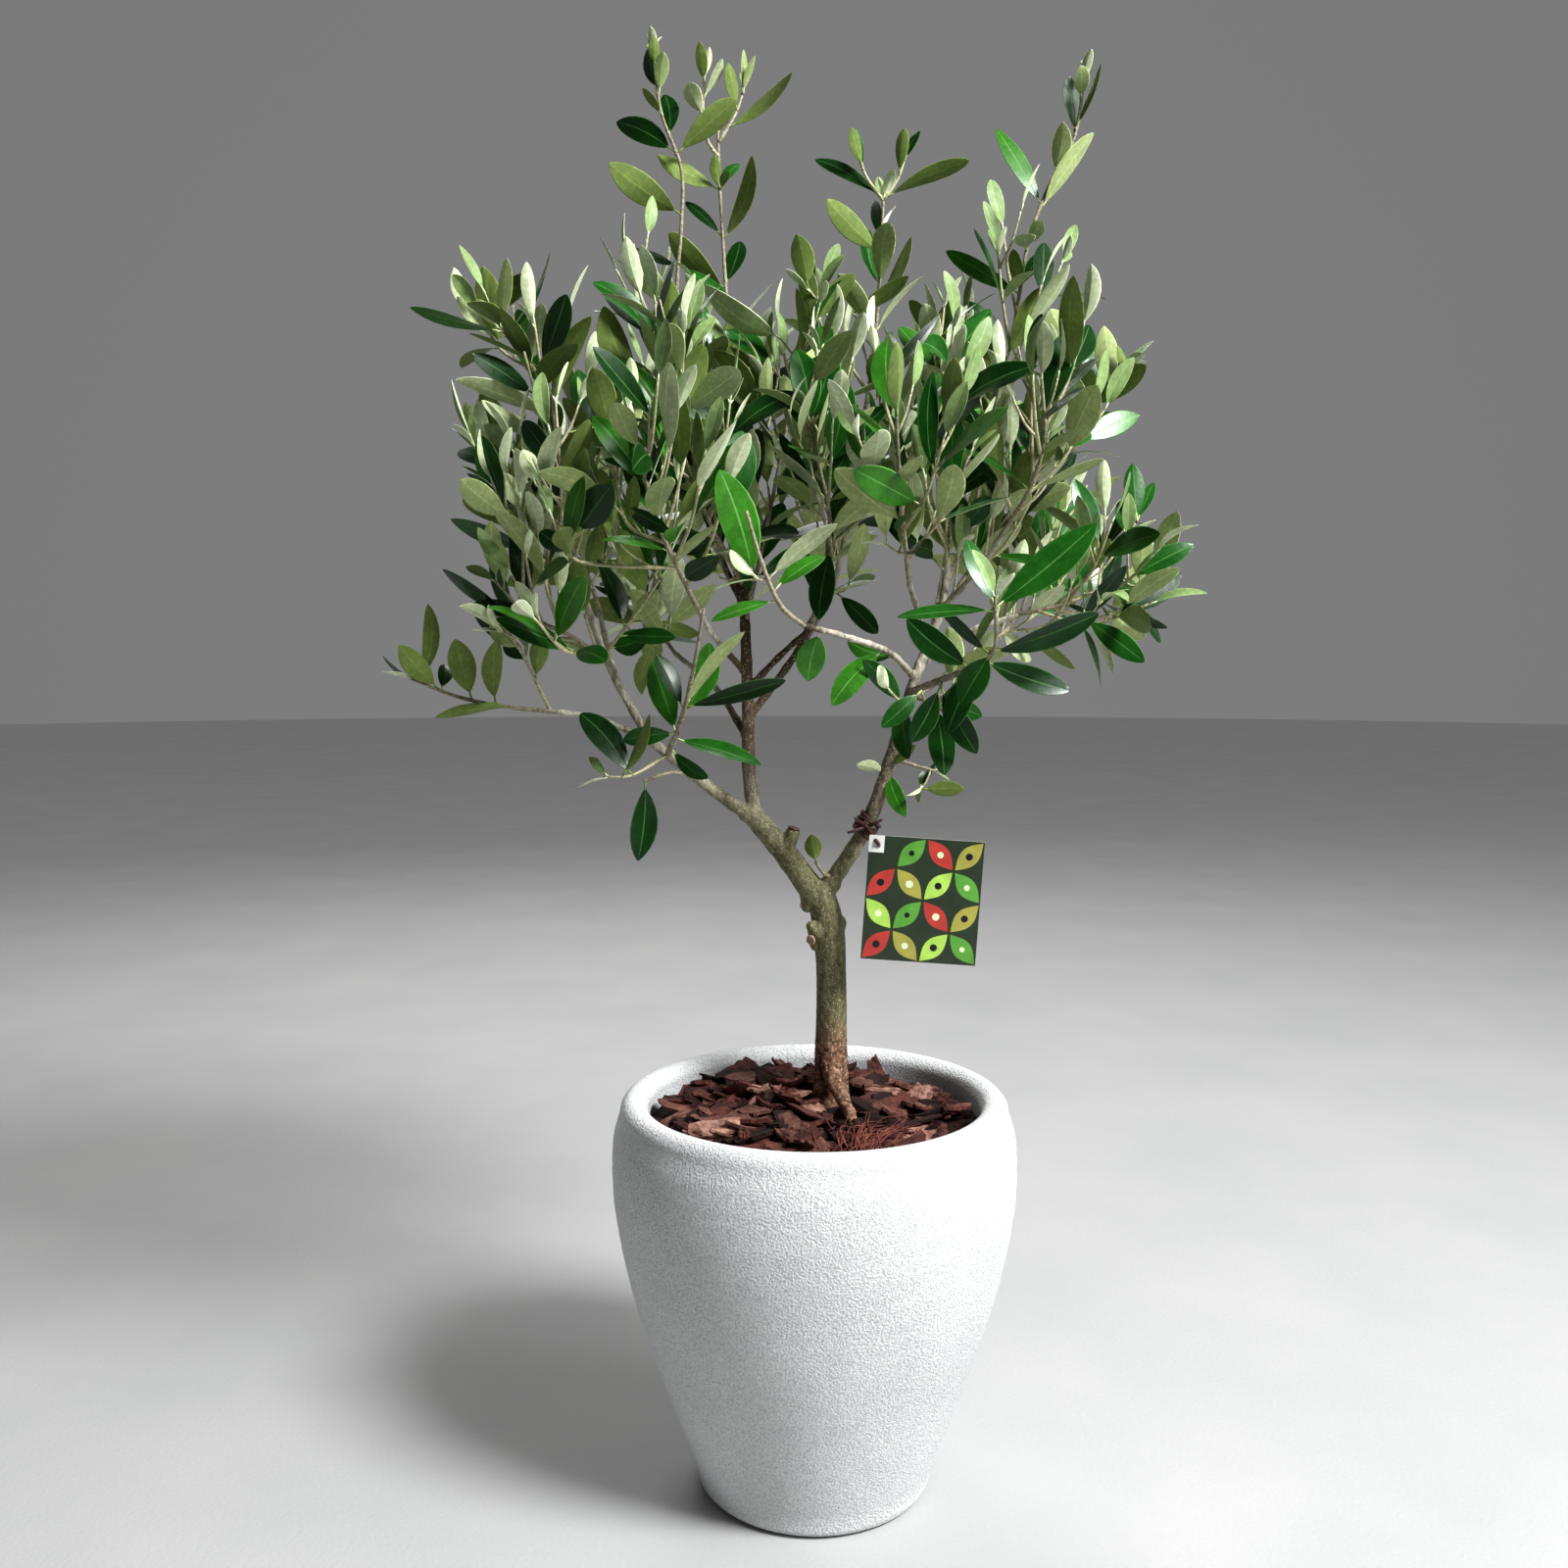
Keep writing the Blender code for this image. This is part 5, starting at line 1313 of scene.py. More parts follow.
def shoot_choices(name, mass, stem):
    """For each side shoot up the stem, the paths that it may take."""
    rng = random.Random(f"{SEED} {name} shoots")
    total = length_of(stem)
    bearing = rng.uniform(0, math.tau)
    shoots = []
    count = mass.shoots + MORE_SHOOTS
    for k in range(count):
        share = FIRST_SHOOT + (mass.crown - FIRST_SHOOT) * (k + 0.5) / count
        place, along = point_at(stem, share * total)
        angle = SHOOT_ANGLE * rng.uniform(*JITTER)
        length = mass.spread * MM * rng.uniform(*SHOOT_LENGTH) * (1.1 - SHORTER_UP * share)
        shoots.append(bent_paths(place, along, angle, bearing, length))
        bearing += SHOOT_TWIST + rng.uniform(-0.3, 0.3)
    return shoots


def leaf_frame(along, bearing, angle, twist):
    """Direction of a leaf and of its upper face, which looks toward the shoot's tip."""
    direction = along * math.cos(angle) + square_to(along, bearing) * math.sin(angle)
    direction = (direction + UP * LEAF_LIFT).normalized()
    light = along + UP * LIGHT_SHARE * (1.0 - abs(along.z))
    face = (light - direction * light.dot(direction)).normalized()
    return direction, Matrix.Rotation(twist, 3, direction) @ face


def shoot_leaves(path, rng, mass, first=FIRST_PAIR, scale=1.0):
    """Choices of leaf for every place on a shoot: pairs at each node and young leaves at the tip."""
    total = length_of(path)
    nodes = max(0, int((total - first) / (mass.internode * MM * scale)))
    widest = math.radians(mass.angle)
    bearing = rng.uniform(0, math.tau)
    places = []
    for node in range(nodes + 1):
        share = node / nodes if nodes else 1.0
        last = node == nodes
        spot, along = point_at(path, total - (nodes - node) * mass.internode * MM * scale)
        for side in BOTH_SIDES[:1] if last else BOTH_SIDES:
            turn = bearing + side + rng.uniform(-0.25, 0.25)
            angle = widest + (LEAF_ANGLE_LAST - widest) * share
            angle = TIP_ANGLE if last else angle * rng.uniform(*JITTER)
            size = TIP_LEAF if last else 1.0 - 0.2 * abs(share - 0.4)
            size *= rng.uniform(*LEAF_SIZE)
            twist = rng.gauss(0.0, LEAF_TURN)
            choices = []
            for fold in FOLD_TRIES:
                direction, face = leaf_frame(along, turn, angle * fold, twist)
                choices.append(Leaf(spot, direction, face, size * mass.leaf * MM * scale, last))
            places.append(choices)
        bearing += math.pi / 2 + rng.uniform(-0.2, 0.2)
    return places


def longest_free(choices, name, room, shortest, reach_check=False):
    """Of a shoot's choices, the longest that stays in its mass's space and touches nothing."""
    paths = []
    for path in choices:
        kept = [path[0]]
        for spot in path[1:]:
            if not room.holds(name, spot) or (reach_check and not room.reaches(name, spot)):
                break
            kept.append(spot)
        paths.append(kept)
    for path in sorted(paths, key=len, reverse=True):
        if len(path) < 2 or length_of(path) < shortest:
            continue
        path = divided(path, TWIG_STEP)
        if room.gives(twig_solid(path, SHOOT_ROOM, skip=SHOOT_SKIP)):
            return path
    return None


def leaf_fits(leaf, name, room):
    """True where a leaf reaches no farther than the CAD's mass."""
    side = leaf.direction.cross(leaf.face) * (leaf.breadth or leaf.length * TEST_WIDTH) / 2
    middle = leaf.root + leaf.direction * leaf.length / 2
    outline = (leaf.root + leaf.direction * leaf.length, middle + side, middle - side)
    return all(room.reaches(name, spot) for spot in outline)


def put_leaves(places, name, room, reach_check=False):
    """The leaves of a shoot that have room, each in the first of its choices that fits."""
    found = []
    for choices in places:
        for leaf in choices:
            if (not reach_check or leaf_fits(leaf, name, room)) and room.gives(leaf_solid(leaf)):
                found.append(leaf)
                break
    return found


# ---------------------------------------------------------------- placed leaves

PHOTO = 1600                     # pixels across the photograph
FOCAL = LENS_MM / SENSOR_MM * PHOTO
LEAF_LEAN = {"under": -9, "level": -11, "upper": 5}      # depth of the tip beyond the root's (mm)
LEVEL_RISE = 0.35                # a leaf that rises less than this for its length lies level
SNAP = 6 * MM                    # a root this near a stem moves onto it, a farther one gets a short twig
FAR_ROOT = 14 * MM
FAR_DEPTH = 42 * MM
LONGEST_JOIN = 26 * MM
JOIN_DROP = 0.6                  # how far down its carrier a short twig starts, over its length
JOIN_SAG = 0.12
DEPTH_WEIGHT = 0.12              # of a distance along the line of sight, squared
DEPTH_TRIES = (0, 6, -6, 12, -12, 18, -18)
PLACED_START = 0.25              # share of a placed leaf's length that may touch its neighbours
NATURAL_BREADTH = 0.34
NARROWEST = 0.24
WIDE_AS_SHOWN = 0.44             # a leaf that shows broader for its length points along the sight
CARRIER_STEP = 2 * MM


def seen_at(close_up, x, y, depth):
    """Place in space of a point of an enlarged part of the photograph, at a depth in mm."""
    left, top, enlarged = CLOSE_UPS[close_up]
    across = (left + x / enlarged - PHOTO / 2) / FOCAL
    up = (PHOTO / 2 - top - y / enlarged) / FOCAL
    ray = Vector((across, math.cos(CAMERA_DOWN) + up * math.sin(CAMERA_DOWN),
                  up * math.cos(CAMERA_DOWN) - math.sin(CAMERA_DOWN)))
    camera = Vector(CAMERA_PLACE)
    return camera + ray * (depth * MM - camera.y) / ray.y


def seen_leaf(close_up, root_x, root_y, tip_x, tip_y, breadth, depth):
    """A leaf's root, its tip and the breadth that shows, below zero where the underside does."""
    level = root_y - tip_y < LEVEL_RISE * math.hypot(tip_x - root_x, tip_y - root_y)
    lean = LEAF_LEAN["under" if breadth < 0 else "level" if level else "upper"]
    size = (depth * MM - CAMERA_PLACE[1]) / FOCAL / CLOSE_UPS[close_up][2]
    return (seen_at(close_up, root_x, root_y, depth), seen_at(close_up, tip_x, tip_y, depth + lean),
            breadth * size)


def sight(spot):
    return (spot - Vector(CAMERA_PLACE)).normalized()


def nearest_carrier(paths, spot):
    """The point of some stems that lies nearest to a spot, mostly as the camera sees them."""
    spots = np.concatenate([np.array(divided(path, CARRIER_STEP)) for path in paths])
    away = spots - np.array(spot)
    deep = away @ np.array(sight(spot))
    score = (away**2).sum(1) - (1 - DEPTH_WEIGHT) * deep**2
    best = int(score.argmin())
    return Vector(spots[best]), float(deep[best])


def turned_leaf(root, tip, breadth, rng):
    """A leaf between two points, turned about its length until it shows the given breadth."""
    shown = abs(breadth)
    longer = (shown / WIDE_AS_SHOWN)**2 - (tip - root).length_squared
    if longer > 0:
        tip += sight(tip) * math.sqrt(longer) * rng.choice((-1, 1))
    direction = (tip - root).normalized()
    length = (tip - root).length
    natural = max(length * NATURAL_BREADTH * rng.uniform(0.94, 1.06), shown)
    if shown < NARROWEST * length:
        natural = NARROWEST * length
    turn = math.acos(min(1.0, shown / natural)) * rng.choice((-1, 1))
    toward = -sight(root) * (1 if breadth > 0 else -1)
    face = (toward - direction * toward.dot(direction)).normalized()
    return Leaf(root, direction, Matrix.Rotation(turn, 3, direction) @ face, length, False, natural)


def seat(own, others, spot):
    """Where a placed leaf's root goes: on this mass's wood, or on another's that is much nearer."""
    found = []
    for carriers in (own, others):
        foot, deep = nearest_carrier(carriers, spot)
        found.append(((foot - spot - sight(spot) * deep).length, foot, deep))
    near = found[0][0] < FAR_ROOT or abs(found[1][2]) > FAR_DEPTH or found[0][0] < found[1][0] + SNAP
    return found[0 if near else 1]


def placed_sprays(name, stems, room, rng):
    """The leaves that the photograph shows one by one, seated on the stem or on short twigs."""
    carriers = [stems[name], limb_path(MASSES[name].limb)]
    others = list(stems.values())
    sprays = [Spray(stems[name], STEM_TWIG, [])]
    seen = []
    for close_up, ways, rows in PLACED[name]:
        seen += [seen_leaf(close_up, *row) for row in rows]
        for way in ways:
            way = [seen_at(close_up, *point) for point in way]
            foot, _ = nearest_carrier(carriers, way[0])
            path = smooth_path([foot, *way[1:]], FINE_STEP / 2)
            carriers.append(path)
            room.take(twig_solid(divided(path, FINE_STEP), SHORT_TWIG, skip=SHOOT_SKIP))
            sprays.append(Spray(path, SHOOT_TWIG, []))
    for root, tip, breadth in sorted(seen, key=lambda leaf: seat(carriers, others, leaf[0])[0]):
        join, foot, deep = seat(carriers, others, root)
        if join > LONGEST_JOIN:
            continue
        root += sight(root) * deep
        tip += sight(tip) * deep
        seated = join < SNAP
        if not seated:
            foot, _ = nearest_carrier(carriers + others, root - UP * JOIN_DROP * join)
        for tried in DEPTH_TRIES:
            leaf = turned_leaf(foot if seated else root, tip + sight(tip) * tried * MM, breadth, rng)
            if room.gives(leaf_solid(leaf, start=PLACED_START)):
                break
        else:
            continue
        if seated:
            sprays[0].leaves.append(leaf)
        else:
            bend = foot.lerp(root, 0.5) - UP * JOIN_SAG * (foot - root).length
            carriers.append([foot, bend, root])
            sprays.append(Spray(carriers[-1], SHORT_TWIG, [leaf]))
    return sprays


# ---------------------------------------------------------------- finer twigs and the whole crown

FINE_TWIG = (22 * MM, 36 * MM)
FINE_EVERY = 15 * MM
FINE_END = 8 * MM                # of a shoot, without finer twigs
FINE_ANGLE = math.radians(44)
FINE_FIRST = 7 * MM
FINE_LEAF = 0.98
SHORTEST_FINE = 14 * MM
TALL_CROWN = 0.5                 # a tall mass holds its side shoots below this share of its stem
TIP_PAIR_SHARE = 0.4             # of other shoots that end in a pair of young leaves
TIP_PAIR_START = 0.4
CLEAR_OF_PLACED = 6 * MM


def finer_sprays(path, name, mass, room, rng):
    """Twigs that stand between the pairs of leaves on a shoot, each with a pair or two of its own."""
    total = length_of(path)
    sprays = []
    bearing = rng.uniform(0, math.tau)
    at = FINE_EVERY
    while at < total - FINE_END:
        place, along = point_at(path, at)
        length = rng.uniform(*FINE_TWIG)
        angle = FINE_ANGLE * rng.uniform(0.8, 1.2)
        choices = bent_paths(place, along, angle, bearing, length)
        twig = longest_free(choices, name, room, SHORTEST_FINE, True)
        if twig:
            leaves = put_leaves(shoot_leaves(twig, rng, mass, FINE_FIRST, FINE_LEAF), name, room, True)
            if leaves:
                sprays.append(Spray(twig, SHORT_TWIG, leaves))
        at += FINE_EVERY * rng.uniform(0.85, 1.2)
        bearing += SHOOT_TWIST
    return sprays


def tip_cluster(spray, mass, room, rng):
    """Small young leaves, nearly upright, round the end of a shoot, where they have room."""
    tip, along = point_at(spray.path, length_of(spray.path))
    leaves = []
    bearing = rng.uniform(0, math.tau)
    tall = mass.spread and mass.crown <= TALL_CROWN and spray.radius == STEM_TWIG
    for pair in range(2 if tall else rng.random() < TIP_PAIR_SHARE):
        for side in BOTH_SIDES:
            angle = math.radians(26 - 10 * pair) * rng.uniform(0.8, 1.3)
            direction, face = leaf_frame(along, bearing + side, angle, rng.gauss(0, 0.2))
            length = mass.leaf * MM * (0.42 - 0.12 * pair) * rng.uniform(*JITTER)
            leaves.append(Leaf(tip - along * (2.0 - 1.5 * pair) * MM, direction, face, length, True))
        bearing += math.pi / 2
    solids = [leaf_solid(leaf, start=TIP_PAIR_START) for leaf in leaves]
    found = [(leaf, solid) for leaf, solid in zip(leaves, solids) if room.is_free(solid)]
    for _, solid in found:
        room.take(solid)
    return [leaf for leaf, _ in found]


def grow():
    """Every mass's sprays: its stem, its side shoots and the finer twigs between their leaves."""
    stems = {name: seated_stem(mass) for name, mass in MASSES.items()}
    nodes = frame["nodes"]
    room = Room([nodes[name] for name in ("trunk", *LIMBS, "tag", "tie")], stems)
    for name, stem in stems.items():
        limb = LIMBS[MASSES[name].limb]
        room.take(twig_solid(stem, STEM_ROOM, skip=STEM_SKIP + limb.root * MM))
    sprays = {name: placed_sprays(name, stems, room, random.Random(f"{SEED} {name} placed"))
              for name in PLACED}
    grown = {name: mass for name, mass in MASSES.items() if name not in STEM_ONLY}
    shoots = {}
    for name, mass in grown.items():
        found = [longest_free(choices, name, room, SHORTEST_SHOOT)
                 for choices in shoot_choices(name, mass, stems[name])]
        shoots[name] = [path for path in found if path]
    for name, mass in grown.items():
        rng = random.Random(f"{SEED} {name} leaves")
        own = sprays.setdefault(name, [Spray(stems[name], STEM_TWIG, [])])
        places = shoot_leaves(stems[name], rng, mass)
        if name in OPEN:
            lowest = min(leaf.root.z for leaf in own[0].leaves)
            places = [choices for choices in places if choices[0].root.z < lowest - CLEAR_OF_PLACED]
        own[0].leaves.extend(put_leaves(places, name, room))
        for path in shoots[name]:
            places = shoot_leaves(path, rng, mass, scale=SHOOT_LEAF)
            own.append(Spray(path, SHOOT_TWIG, put_leaves(places, name, room)))
    for name, mass in grown.items():
        rng = random.Random(f"{SEED} {name} finer")
        paths = shoots[name] if name in OPEN else [spray.path for spray in sprays[name]]
        for path in paths:
            sprays[name] += finer_sprays(path, name, mass, room, rng)
    for name, mass in MASSES.items():
        if name not in ONE_LEAF:
            rng = random.Random(f"{SEED} {name} tips")
            for spray in sprays[name]:
                spray.leaves.extend(tip_cluster(spray, mass, room, rng))
    return sprays


# ---------------------------------------------------------------- leaves and twigs as meshes

LEAF_STATIONS = np.array([0.0, 0.05, 0.14, 0.27, 0.42, 0.57, 0.71, 0.83, 0.92, 0.975, 1.0])
LEAF_COLUMNS = np.array([-1.0, -0.93, -0.05, 0.05, 0.93, 1.0])
PALE_COLUMNS = (0, 2, 4)         # of faces: the margins and the rib
LEAF_THICK = 0.4 * MM
RIB_DEPTH = 0.14 * MM            # the rib is sunk above and stands out below
RIB_HALF = 0.1                   # of half the breadth
PETIOLE = 4.5 * MM
PETIOLE_SHARE = 0.12             # and no more than this share of a small leaf
PETIOLE_RADIUS = 0.55 * MM
LEAF_BREADTH = (0.32, 0.41)      # breadth over the blade's length
YOUNG_BREADTH = (0.30, 0.38)
WIDENING = (0.75, 0.94)          # power of the outline's rise from the root
NARROWING = (0.64, 0.82)         # and of its fall to the tip
LEAST_HALF = 0.28 * MM           # least half breadth of a blade, and that of its tip
TIP_HALF = 0.1 * MM
NODE_PROFILE = ((0, 1), (0.8, 0.6), (1, 0), (0.8, -0.6), (0, -1))
NODE_SIZE = 1.25                 # over the radius of the twig's tip

# Colour of the upper side, the underside and the rib and margin of a spray's leaves. Besides leaves of
# different age, the tones are partly lit and shaded copies: the dark tone holds painted shade, with
# near-black uppers and saturated olive undersides like shaded ones, and the fresh tone's pale underside
# holds painted light.
TONES = {
    "dark": ((0.004, 0.032, 0.003), (0.165, 0.225, 0.060), (0.04, 0.12, 0.03)),
    "middle": ((0.012, 0.085, 0.008), (0.360, 0.430, 0.195), (0.06, 0.18, 0.04)),
    "fresh": ((0.034, 0.150, 0.012), (0.500, 0.560, 0.350), (0.10, 0.27, 0.06)),
    "young": ((0.220, 0.320, 0.130), (0.580, 0.640, 0.440), (0.36, 0.43, 0.22)),
}
TONE_SHARES = (5, 4, 2)          # dark, middle and fresh
DARK_SHADED_TONE, YOUNG_TONE = 0, 3
UPPER, UNDER, RIB, VEIN = range(4)       # zones of a leaf, in the order of each tone's looks
ZONES = 4


def leaf_looks():
    """Four looks for each tone: upper side, underside, and the rib and margin of each."""
    looks = []
    for name, (upper, under, rib) in TONES.items():
        rough, coat = (0.5, 0.0) if name == "young" else (0.31, 0.13)
        looks += [leaf_look(f"leaf_upper_{name}", upper, rough, coat=coat),
                  leaf_look(f"leaf_under_{name}", under, 0.72, sheen=0.25, contrast=0.14),
                  leaf_look(f"leaf_rib_{name}", rib, 0.5, contrast=0.1),
                  leaf_look(f"leaf_vein_{name}", shaded(under, 1.35), 0.6, contrast=0.1)]
    return looks


def leaf_zones():
    """Faces of one leaf by vertex number, and the zone that each face belongs to."""
    stations, columns = len(LEAF_STATIONS), len(LEAF_COLUMNS)
    faces, zones = [], []
    under = stations * columns
    for s in range(stations - 1):
        for c in range(columns - 1):
            a = s * columns + c
            for corners in ((a, a + 1, a + columns + 1), (a, a + columns + 1, a + columns)):
                low = [corner if corner % columns in (0, columns - 1) else corner + under
                       for corner in corners]
                faces += [corners, tuple(reversed(low))]
                zones += [RIB, VEIN] if c in PALE_COLUMNS else [UPPER, UNDER]
    return faces, zones


LEAF_MESH = leaf_zones()


def leaf_arrays(leaves, rng):
    """Vertices of leaves, each as rows of the upper side and then of the underside."""
    root, along, face = (np.array([getattr(leaf, part) for leaf in leaves])
                         for part in ("root", "direction", "face"))
    across = np.cross(face, along)
    petiole = np.array([min(PETIOLE, leaf.length * PETIOLE_SHARE) for leaf in leaves])
    length = np.array([leaf.length for leaf in leaves]) - petiole
    shares = [rng.uniform(*(YOUNG_BREADTH if leaf.young else LEAF_BREADTH)) for leaf in leaves]
    breadth = np.array([leaf.breadth or share * size for leaf, share, size in zip(leaves, shares, length)])
    bend, sway, fold, twist = np.array([habit(leaf) for leaf in leaves]).T
    u = LEAF_STATIONS[None, :]
    rise_power = np.array([[rng.uniform(*WIDENING)] for _ in leaves])
    fall_power = np.array([[rng.uniform(*NARROWING)] for _ in leaves])
    widest = rise_power / (rise_power + fall_power)
    outline = (u / widest)**rise_power * ((1 - u) / (1 - widest))**fall_power
    half = (outline * breadth[:, None] / 2).clip(LEAST_HALF)
    half[:, -1] = TIP_HALF
    level = length[:, None] * (u - bend[:, None]**2 * u**3 / 6)
    drop = -length[:, None] * bend[:, None] * u**2 / 2
    side = length[:, None] * sway[:, None] * 4 * (u - u**2)
    spin = (twist[:, None] * u)[..., None]
    v = LEAF_COLUMNS[None, None, :]
    flat = v * half[..., None]
    rise = fold[:, None, None] * np.abs(v)**1.3 * half[..., None] * (1 - 0.5 * u[..., None])
    fullness = 0.4 + 0.6 * (half / half.max(1, keepdims=True))
    thick = LEAF_THICK * (1 - np.abs(v)**4) * fullness[..., None]
    middle = root[:, None, None, :] + along[:, None, None, :] * (petiole[:, None] + level)[:, :, None, None]
    rows = []
    for sign in (0.5, -0.5):
        up = rise + sign * thick - RIB_DEPTH * (np.abs(v) < RIB_HALF)
        x = side[..., None] + flat * np.cos(spin) - up * np.sin(spin)
        y = drop[..., None] + flat * np.sin(spin) + up * np.cos(spin)
        rows.append(middle + across[:, None, None, :] * x[..., None]
                    + face[:, None, None, :] * y[..., None])
    return np.stack(rows, 1).reshape(len(leaves), -1, 3), petiole


def add_leaves(shape, leaves, rng, tone):
    """Blades of one tone, young ones in the pale tone, and the stalks that carry them."""
    faces, zones = LEAF_MESH
    for leaf, block, petiole in zip(leaves, *leaf_arrays(leaves, rng)):
        own = ZONES * (YOUNG_TONE if leaf.young else tone)
        shape.add(block, faces, [own + zone for zone in zones])
        end = leaf.root + leaf.direction * (petiole + 1.2 * MM)
        radii = [PETIOLE_RADIUS * 1.2, PETIOLE_RADIUS, PETIOLE_RADIUS * 0.7]
        add_tube(shape, [leaf.root, leaf.root.lerp(end, 0.5), end], radii, 4, own + VEIN)


def add_twig(shape, spray, rng):
    """Slightly uneven twig with a swelling at the root of each leaf."""
    look = 0 if spray.radius == STEM_TWIG else 1
    fine = smooth_path(spray.path, BARK_STEP)
    radii = [radius * rng.uniform(0.93, 1.08) for radius in taper(fine, *spray.radius)]
    add_tube(shape, fine, radii, 7, look)
    for leaf in spray.leaves:
        if not leaf.young:
            knob = Shape()
            add_revolved(knob, NODE_PROFILE, 6)
            size = spray.radius[1] / MM * NODE_SIZE
            shape.add(np.concatenate(knob.spots) * size * MM + np.array(leaf.root), knob.faces, look)


REGIONS = {
    "left": ("leaves_far_left", "leaves_left_low", "leaves_left_middle", "leaves_left_top",
             "leaves_left_back", "leaf_hanging", "leaves_front_left", "leaves_front_left_high"),
    "middle": ("leaves_centre_left", "leaves_tall_left", "leaves_tall_middle", "leaves_centre_top",
               "leaves_centre_front", "leaves_tall_right", "leaves_front", "leaf_at_fork",
               "leaves_front_centre"),
    "right": ("leaves_right_centre", "leaves_front_right", "leaves_right_low", "leaves_under_right",
              "leaves_right_top", "leaves_tall_far_right", "leaves_front_far_right",
              "leaves_right_sprig"),
    "back": ("leaves_back_centre", "leaves_back_left", "leaves_back_middle", "leaves_back_low",
             "leaves_back_right"),
}


def build_crown():
    """Leaves and twigs of all masses, joined by region."""
    looks = leaf_looks()
    barks = [wood_look("older_twig", (0.16, 0.135, 0.085), (0.42, 0.38, 0.28), 0.8),
             wood_look("young_shoot", (0.30, 0.28, 0.15), (0.56, 0.53, 0.36), 0.7)]
    sprays = grow()
    for region, names in REGIONS.items():
        rng = random.Random(f"{SEED} {region}")
        leaves, twigs = Shape(), Shape()
        for name in names:
            for spray in sprays[name]:
                for k in range(0, len(spray.leaves), 2):
                    # The dark tone is partly painted shade.
                    tone = DARK_SHADED_TONE
                    if name not in ONE_LEAF:
                        tone = rng.choices(range(len(TONE_SHARES)), TONE_SHARES)[0]
                    add_leaves(leaves, spray.leaves[k:k + 2], rng, tone)
                add_twig(twigs, spray, rng)
        settle(leaves.piece(f"olive_leaves_{region}", looks), "leaves", *names)
        settle(twigs.piece(f"olive_twigs_{region}", barks), "bough_bark")


# ---------------------------------------------------------------- tag and tie

# Sizes on the tag are in mm.
TAG_SIZE = (70.0, 76.0)
TAG_THICK = 0.6
TAG_HOLE = (5.0, -6.0)
TAG_HOLE_RADIUS = 2.2
TAG_HOLE_STEPS = 24
TAG_CORNER = Vector((33, -12, 411)) * MM
TAG_LEAN = math.radians(3.9)
PLAIN_PATCH = (9.4, 10.4)        # bare card round the hole, across and down
PRINT_PROUD = 0.05
PRINT_SUNK = 0.1
PRINT_EDGE = 0.01
PRINT_TILES = 4
TILE_MARGIN = 0.8
PETAL_STEPS = 10
PETAL_HALF = 0.24                # half breadth over length
DOT_SIDES = 16
DOT_RADII = (1.6, 2.4)
TAG_LOOKS = (("tag_card", (0.72, 0.72, 0.68), 0.45), ("print_ground", (0.020, 0.035, 0.016)),
             ("print_green", (0.10, 0.30, 0.045)), ("print_lime", (0.36, 0.58, 0.10)),
             ("print_red", (0.42, 0.045, 0.035)), ("print_olive", (0.33, 0.31, 0.065)),
             ("print_pale", (0.62, 0.70, 0.45)), ("print_black", (0.008, 0.008, 0.012), 0.2))
CARD, GROUND, GREEN, LIME, RED, OLIVE, PALE, BLACK = range(len(TAG_LOOKS))
PETALS = (LIME, GREEN, RED, OLIVE)
DOTS = (PALE, BLACK)


def tag_place(x, y, z):
    """Place on the tag: mm to the right, out of its front and up from its upper left corner."""
    return Matrix.Translation(TAG_CORNER) @ Matrix.Rotation(TAG_LEAN, 4, "Y") @ (Vector((x, -y, z)) * MM)


def add_card(shape):
    """Card with a round hole, its front, back and edges."""
    width, height = TAG_SIZE
    hole_x, hole_z = TAG_HOLE
    steps = TAG_HOLE_STEPS
    inner, outer = [], []
    for k in range(steps):
        angle = math.tau * (k + 0.5) / steps
        dx, dz = math.cos(angle), math.sin(angle)
        inner.append((hole_x + TAG_HOLE_RADIUS * dx, hole_z + TAG_HOLE_RADIUS * dz))
        reach = min(((width - hole_x) if dx > 0 else -hole_x) / dx,
                    (-hole_z if dz > 0 else (-height - hole_z)) / dz)
        outer.append((hole_x + reach * dx, hole_z + reach * dz))
    for corner in ((0, 0), (width, 0), (width, -height), (0, -height)):
        outer[min(range(steps), key=lambda k: math.dist(outer[k], corner))] = corner
    half = TAG_THICK / 2
    spots = [tag_place(x, y, z) for y in (half, -half) for ring in (inner, outer) for x, z in ring]
    faces = []
    lower = 2 * steps
    for k in range(steps):
        n = (k + 1) % steps
        a, b, c, d = k, n, steps + n, steps + k
        faces += [(a, b, c, d), (d + lower, c + lower, b + lower, a + lower),
                  (d, c, c + lower, d + lower), (b, a, a + lower, b + lower)]
    shape.add(spots, faces, CARD)


def add_print(shape, outline, look, layer):
    """Flat printed shape a hair proud of the card's front."""
    count = len(outline)
    front = TAG_THICK / 2 + PRINT_PROUD * (layer + 1)
    spots = [tag_place(x, y, z) for y in (front, TAG_THICK / 2 - PRINT_SUNK) for x, z in outline]
    faces = [tuple(range(count)), tuple(reversed(range(count, 2 * count)))]
    faces += [(k, k + count, (k + 1) % count + count, (k + 1) % count) for k in range(count)]
    shape.add(spots, faces, look)


def petal(corner, opposite):
    """Outline of a petal between two corners of a tile."""
    a, b = np.array(corner), np.array(opposite)
    along = b - a
    side = np.array((-along[1], along[0])) * PETAL_HALF
    outline = []
    for sign, turns in ((1, range(PETAL_STEPS + 1)), (-1, range(PETAL_STEPS - 1, 0, -1))):
        outline += [tuple(a + along * k / PETAL_STEPS + sign * side * math.sin(math.pi * k / PETAL_STEPS))
                    for k in turns]
    return outline


